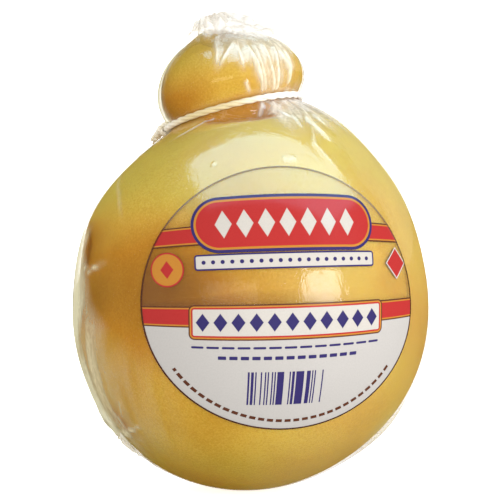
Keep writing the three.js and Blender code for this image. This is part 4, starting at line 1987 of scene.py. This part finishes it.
@dataclass
class NeckCord:
    """The tie cord: three strands laid round the neck, with a knot and two short ends at the left."""

    form: PearForm
    strand_radius: float = 0.00074
    lay_radius: float = 0.00050
    clearance: float = 0.0003
    half_thickness: float = 0.0012
    twists: int = 12
    steps: int = 520
    sides: int = 10
    hitch: float = math.radians(186.0)
    tie_steps: int = 150
    tie_twists: float = 5.0
    tie_scale: float = 0.86
    tie_end: float = 0.06
    tie_end_thin: float = 0.55
    fray_end: float = 0.09
    fray: float = 1.3
    shade_across: Pair = (0.016, -0.008)
    unshaded_across: Pair = (-0.020, -0.030)
    unshaded_share: float = 0.6
    strand_count: int = 3
    start_way: Triple = (0.3, 0.5, 0.8)
    tie_corners: tuple[Triple, ...] = (
        (-2.2, 6.6, -3.0), (-1.8, 5.2, -2.5), (-1.2, 3.6, -1.9), (-0.9, 2.2, -0.6),
        (-0.8, 1.5, 1.2), (-0.4, -0.2, 2.0), (0.1, -1.4, 0.8), (0.4, -1.3, -1.3),
        (0.7, 0.6, -2.2), (1.0, 2.2, -1.0), (0.6, 2.4, 0.6), (-0.6, 2.2, 1.1),
        (-0.2, 3.1, 0.0), (1.4, 3.9, -0.9), (3.0, 4.9, -1.9), (4.2, 5.5, -3.1),
    )

    def build(self) -> Piece:
        """Makes the mesh round the neck.

        Returns:
            The cord.
        """
        neck = np.array([self.form.neck_height])
        middle, to_right, to_back = (part[0] for part in self.form.ring_frames(neck))
        up = np.cross(to_right, to_back)
        reach = self.form.radius(neck)[0] + self.clearance + self.half_thickness
        angles = np.arange(self.steps) * TAU / self.steps
        loop = middle + reach * (np.cos(angles)[:, None] * to_right + np.sin(angles)[:, None] * to_back)
        out = math.cos(self.hitch) * to_right + math.sin(self.hitch) * to_back
        local = np.stack([np.cross(up, out), out, up])
        tie = middle + reach * out + self.tie_path() @ local
        points: list[Array] = []
        faces: Faces = []
        even = np.full(self.steps, 1.0)
        self.strands(points, faces, loop, even, even, self.twists, closed=True)
        share = np.linspace(0.0, 1.0, self.tie_steps)
        to_end = np.minimum(share, 1.0 - share)
        whole = smooth_step(0.0, self.tie_end, to_end)
        thick = self.tie_scale * (self.tie_end_thin + (1.0 - self.tie_end_thin) * whole)
        fray = self.tie_scale * (1.0 + self.fray * smooth_step(self.fray_end, 0.0, to_end))
        self.strands(points, faces, tie, thick, fray, self.tie_twists, closed=False)
        piece = MeshMaker.object("neck_cord_twist", np.concatenate(points), faces)
        # Painted shade: the cord turns beige from its middle towards the left, less at its far left end.
        across = MeshMaker.positions(piece)[:, 0]
        unshaded = self.unshaded_share * smooth_step(*self.unshaded_across, across)
        MeshMaker.carry(piece, Layer.TINT_AND_SHADE, smooth_step(*self.shade_across, across) * (1.0 - unshaded))
        return piece

    def tie_path(self) -> Array:
        """The cord's smooth course from one end through the knot to the other.

        Returns:
            Points: along the loop, outwards and up.
        """
        corners = np.array(self.tie_corners)
        count = len(corners)
        before = 2 * corners[0] - corners[1]
        after = 2 * corners[-1] - corners[-2]
        padded = np.concatenate([[before], corners, [after]])
        place = np.linspace(0.0, count - 1.0, self.tie_steps)
        index = np.minimum(place.astype(int), count - 2)
        t = (place - index)[:, None]
        a, b, c, d = (padded[index + k] for k in range(4))
        bend = (2 * a - 5 * b + 4 * c - d) * t**2 + (3 * b - a - 3 * c + d) * t**3
        return 0.5 * MILLIMETRE * (2 * b + (c - a) * t + bend)

    def strands(
        self, points: list[Array], faces: Faces, path: Array, thick: Array, fray: Array,
        twists: float, closed: bool,
    ) -> None:
        """Lays three strands along a path.

        Args:
            points: The list that takes their points.
            faces: The list that takes their faces.
            path: Points of the cord's middle.
            thick: Scale of the strands' radius along the path.
            fray: Scale of the strands' distance from the middle.
            twists: How many full turns the strands make.
            closed: Whether the path comes back to its start.
        """
        count = len(path)
        if closed:
            ahead = np.roll(path, -1, axis=0) - np.roll(path, 1, axis=0)
        else:
            ahead = np.gradient(path, axis=0)
        ahead = unit(ahead)
        normals = [unit(np.cross(ahead[0], np.array(self.start_way)))]
        for way in ahead[1:]:
            normals.append(unit(normals[-1] - (normals[-1] @ way) * way))
        normal = np.array(normals)
        aside = np.cross(ahead, normal)
        turn = np.arange(self.sides) * TAU / self.sides
        ring = np.cos(turn)[None, :, None] * normal[:, None, :]
        ring += np.sin(turn)[None, :, None] * aside[:, None, :]
        share = np.arange(count) / (count if closed else count - 1)
        for strand in range(self.strand_count):
            lay = TAU * (twists * share + strand / self.strand_count)
            away = np.cos(lay)[:, None] * normal + np.sin(lay)[:, None] * aside
            core = path + (self.lay_radius * fray)[:, None] * away
            tube = core[:, None, :] + (self.strand_radius * thick)[:, None, None] * ring
            start = sum(len(part) for part in points)
            points.append(tube.reshape(-1, 3))
            faces += MeshMaker.sheet_faces(count, self.sides, start, closed=True).tolist()
            last = start + (count - 1) * self.sides
            if closed:
                for i in range(self.sides):
                    j = (i + 1) % self.sides
                    faces.append((last + i, last + j, start + j, start + i))
            else:
                faces.append(tuple(start + i for i in reversed(range(self.sides))))
                faces.append(tuple(last + i for i in range(self.sides)))

    def dress(self, piece: Piece) -> None:
        """Gives the cord its fibres."""
        settle(piece, CordFinish().material(), Slot.CORD, Node.CORD)


@dataclass
class Label:
    """The round label on the front."""

    form: PearForm
    half_width: float = 0.056
    half_height: float = 0.049
    turn: float = math.radians(12.2)
    tilt_up: float = math.radians(4.5)
    clearance: float = 0.00008
    thickness: float = 0.00015
    rings: int = 44
    segments: int = 180

    def build(self, wrap: Wrap) -> Piece:
        """Makes the mesh on the bag.

        Args:
            wrap: The bag's surface.

        Returns:
            The label.
        """
        sine = math.sin(self.turn)
        cosine = math.cos(self.turn)
        level = math.cos(self.tilt_up)
        out = np.array([sine * level, -cosine * level, math.sin(self.tilt_up)])
        side = np.array([cosine, sine, 0.0])
        up = np.cross(out, side)
        angles = np.arange(self.segments) * TAU / self.segments
        shares = np.linspace(0.0, 1.0, self.rings + 1)[1:]
        share, angle = np.meshgrid(shares, angles, indexing="ij")
        across = share * self.half_width * np.cos(angle)
        upwards = share * self.half_height * np.sin(angle)
        polar = np.hypot(across, upwards) / self.form.body_radius
        ways = ways_round(out, side, up, polar, np.arctan2(upwards, across))
        middle = self.form.body_middle
        under = wrap.laid(middle, ways, np.full(share.shape, self.clearance))
        over = under + ways * self.thickness
        first = wrap.laid(middle, out[None, :], np.array([self.clearance]))[0]
        grid = np.concatenate([under, over[::-1]])
        piece = MeshMaker.closed_loft("label_sheet", grid, first, first + out * self.thickness)
        flat = np.stack([across, upwards], axis=-1) / MILLIMETRE
        places = np.concatenate([flat.reshape(-1, 2), flat[::-1].reshape(-1, 2), np.zeros((2, 2))])
        MeshMaker.carry_flat(piece, Layer.PRINT, places)
        return piece

    def dress(self, piece: Piece) -> None:
        """Gives the label its print."""
        settle(piece, LabelFinish().material(), Slot.LABEL, Node.LABEL)


@dataclass(frozen=True)
class SoftBox:
    """A square light panel that faces a point."""

    name: str
    place: Triple
    target: Triple
    size: Pair
    power: float
    colour: Colour = (1.0, 1.0, 1.0)
    mirrored: bool = True
    shining: bool = True

    def build(self) -> None:
        """Makes the light."""
        light = bpy.data.lights.new(self.name, "AREA")
        light.shape = "RECTANGLE"
        light.size = self.size[0]
        light.size_y = self.size[1]
        light.energy = self.power
        light.color = self.colour
        made = bpy.data.objects.new(self.name, light)
        made.location = self.place
        aim = Vector(self.target) - Vector(self.place)
        made.rotation_euler = aim.to_track_quat("-Z", "Y").to_euler()
        made.visible_camera = False
        made.visible_glossy = self.mirrored
        made.visible_diffuse = self.shining
        bpy.context.scene.collection.objects.link(made)


@dataclass
class Studio:
    """Camera, floor and lights."""

    pixels: int = 500
    metres_a_pixel: float = 0.0003812
    camera_distance: float = 0.8
    origin_pixel: Pair = (244.7, 488.0)
    sensor: float = 36.0
    floor_drop: float = 0.0003
    floor_half_width: float = 3.0
    floor_front: float = -2.5
    bend_start: float = 1.2
    bend_radius: float = 0.8
    bend_steps: int = 24
    wall_height: float = 3.0
    room_light: Pair = (1.35, 0.62)
    room_below: Pair = (0.22, 1.0)
    below_range: Pair = (-0.9, -0.1)

    def build(self) -> None:
        """Makes the camera, the floor and the lights."""
        self.camera()
        self.floor()
        self.room()
        for box in self.boxes():
            box.build()

    def camera(self) -> None:
        """A level camera whose picture has the photograph's frame."""
        lens = bpy.data.cameras.new("camera")
        lens.sensor_width = self.sensor
        lens.lens = self.sensor * self.camera_distance / (self.pixels * self.metres_a_pixel)
        made = bpy.data.objects.new("camera", lens)
        across = (self.pixels / 2.0 - self.origin_pixel[0]) * self.metres_a_pixel
        height = (self.origin_pixel[1] - self.pixels / 2.0) * self.metres_a_pixel
        made.location = (across, -self.camera_distance, height)
        made.rotation_euler = (math.pi / 2.0, 0.0, 0.0)
        bpy.context.scene.collection.objects.link(made)
        bpy.context.scene.camera = made

    def floor(self) -> None:
        """A floor that sweeps up into a wall far behind."""
        bend = np.linspace(0.0, math.pi / 2.0, self.bend_steps)
        bend_along = self.bend_start + self.bend_radius * np.sin(bend)
        bend_rise = self.bend_radius * (1.0 - np.cos(bend))
        along = np.concatenate([[self.floor_front], bend_along, [self.bend_start + self.bend_radius]])
        rise = np.concatenate([[0.0], bend_rise, [self.wall_height]]) - self.floor_drop
        sides = (self.floor_half_width, -self.floor_half_width)
        points = np.array([(x, y, z) for x in sides for y, z in zip(along, rise)])
        faces = MeshMaker.sheet_faces(len(sides), len(along)).tolist()
        sweep = MeshMaker.object("floor", points, faces)
        sweep.data.materials.append(FloorFinish().material())
        sweep.visible_glossy = False
        sweep.visible_diffuse = False
        sweep.visible_shadow = False

    def room(self) -> None:
        """Light from a white room, stronger from its walls than from above, which isn't mirrored."""
        world = bpy.data.worlds.new("room")
        world.use_nodes = True
        graph = Graph(world.node_tree)
        upwards = graph.split(graph.node("ShaderNodeTexCoord").outputs["Generated"])["Z"]
        ground = world.node_tree.nodes["Background"]
        ground.inputs["Color"].default_value = WHITE
        above = graph.spread(upwards, 0.0, 1.0, *self.room_light)
        below = graph.spread(upwards, *self.below_range, *self.room_below)
        graph.feed(ground.inputs["Strength"], graph.math("MULTIPLY", above, below))
        bpy.context.scene.world = world
        world.cycles_visibility.glossy = False
        bpy.context.scene.view_settings.view_transform = "Standard"

    def boxes(self) -> list[SoftBox]:
        """The light panels.

        Returns:
            Panels that the film mirrors, and fills that only shine.
        """
        middle = (0.0, 0.0, 0.07)
        above = (0.40, -0.32, 0.97)
        below = (0.40, -0.32, 0.0)
        blue = (0.46, 0.75, 1.0)
        pale_blue = (0.88, 0.96, 1.0)
        return [
            SoftBox("overhead", above, below, (1.80, 0.86), 15.6, blue, shining=False),
            SoftBox("right", (0.78, -0.77, 0.27), middle, (0.46, 0.24), 1.85, pale_blue, shining=False),
            SoftBox("rear right", (0.72, 0.40, 0.86), middle, (0.9, 0.9), 1.6, mirrored=False),
            SoftBox("far right", (0.70, 0.92, 0.64), middle, (1.2, 0.8), 1.0, shining=False),
            SoftBox("left", (-0.22, -1.15, 0.24), middle, (0.7, 0.2), 0.5, (1.0, 0.97, 0.66)),
            SoftBox("rear fill", (-0.2, 0.7, 0.75), middle, (0.7, 0.7), 2.4, mirrored=False),
            SoftBox("right fill", (0.9, -0.5, 0.32), middle, (0.6, 0.6), 3.8, mirrored=False),
            SoftBox("left fill", (-0.85, -0.45, 0.30), middle, (0.7, 0.7), 0.6, mirrored=False),
            SoftBox("front fill", (0.3, -1.1, 0.02), middle, (1.0, 0.5), 5.4, mirrored=False),
            SoftBox("low fill", (0.75, -0.45, -0.30), middle, (0.5, 0.5), 1.5, mirrored=False),
            SoftBox("backdrop", (0.0, 0.5, 0.9), (0.0, 2.0, 0.5), (2.4, 0.7), 22.0, (0.94, 1.0, 0.96)),
        ]


def main() -> None:
    """Builds the studio and the pieces in order."""
    logging.basicConfig(level=logging.INFO, format="%(name)s: %(message)s")
    form = PearForm()
    Studio().build()
    crease = NeckCrease()
    cheese = Cheese(form, LooseFilm(), crease)
    cheese.dress(cheese.build())
    bag = FilmBag(form, crease)
    bag_piece = bag.build()
    bag.dress(bag_piece)
    wrap = Wrap(bag_piece)
    tuft = FilmTuft(form)
    tuft.dress(tuft.build(wrap))
    cord = NeckCord(form)
    cord.dress(cord.build())
    label = Label(form)
    label.dress(label.build(wrap))


if __name__ == "__main__":
    main()
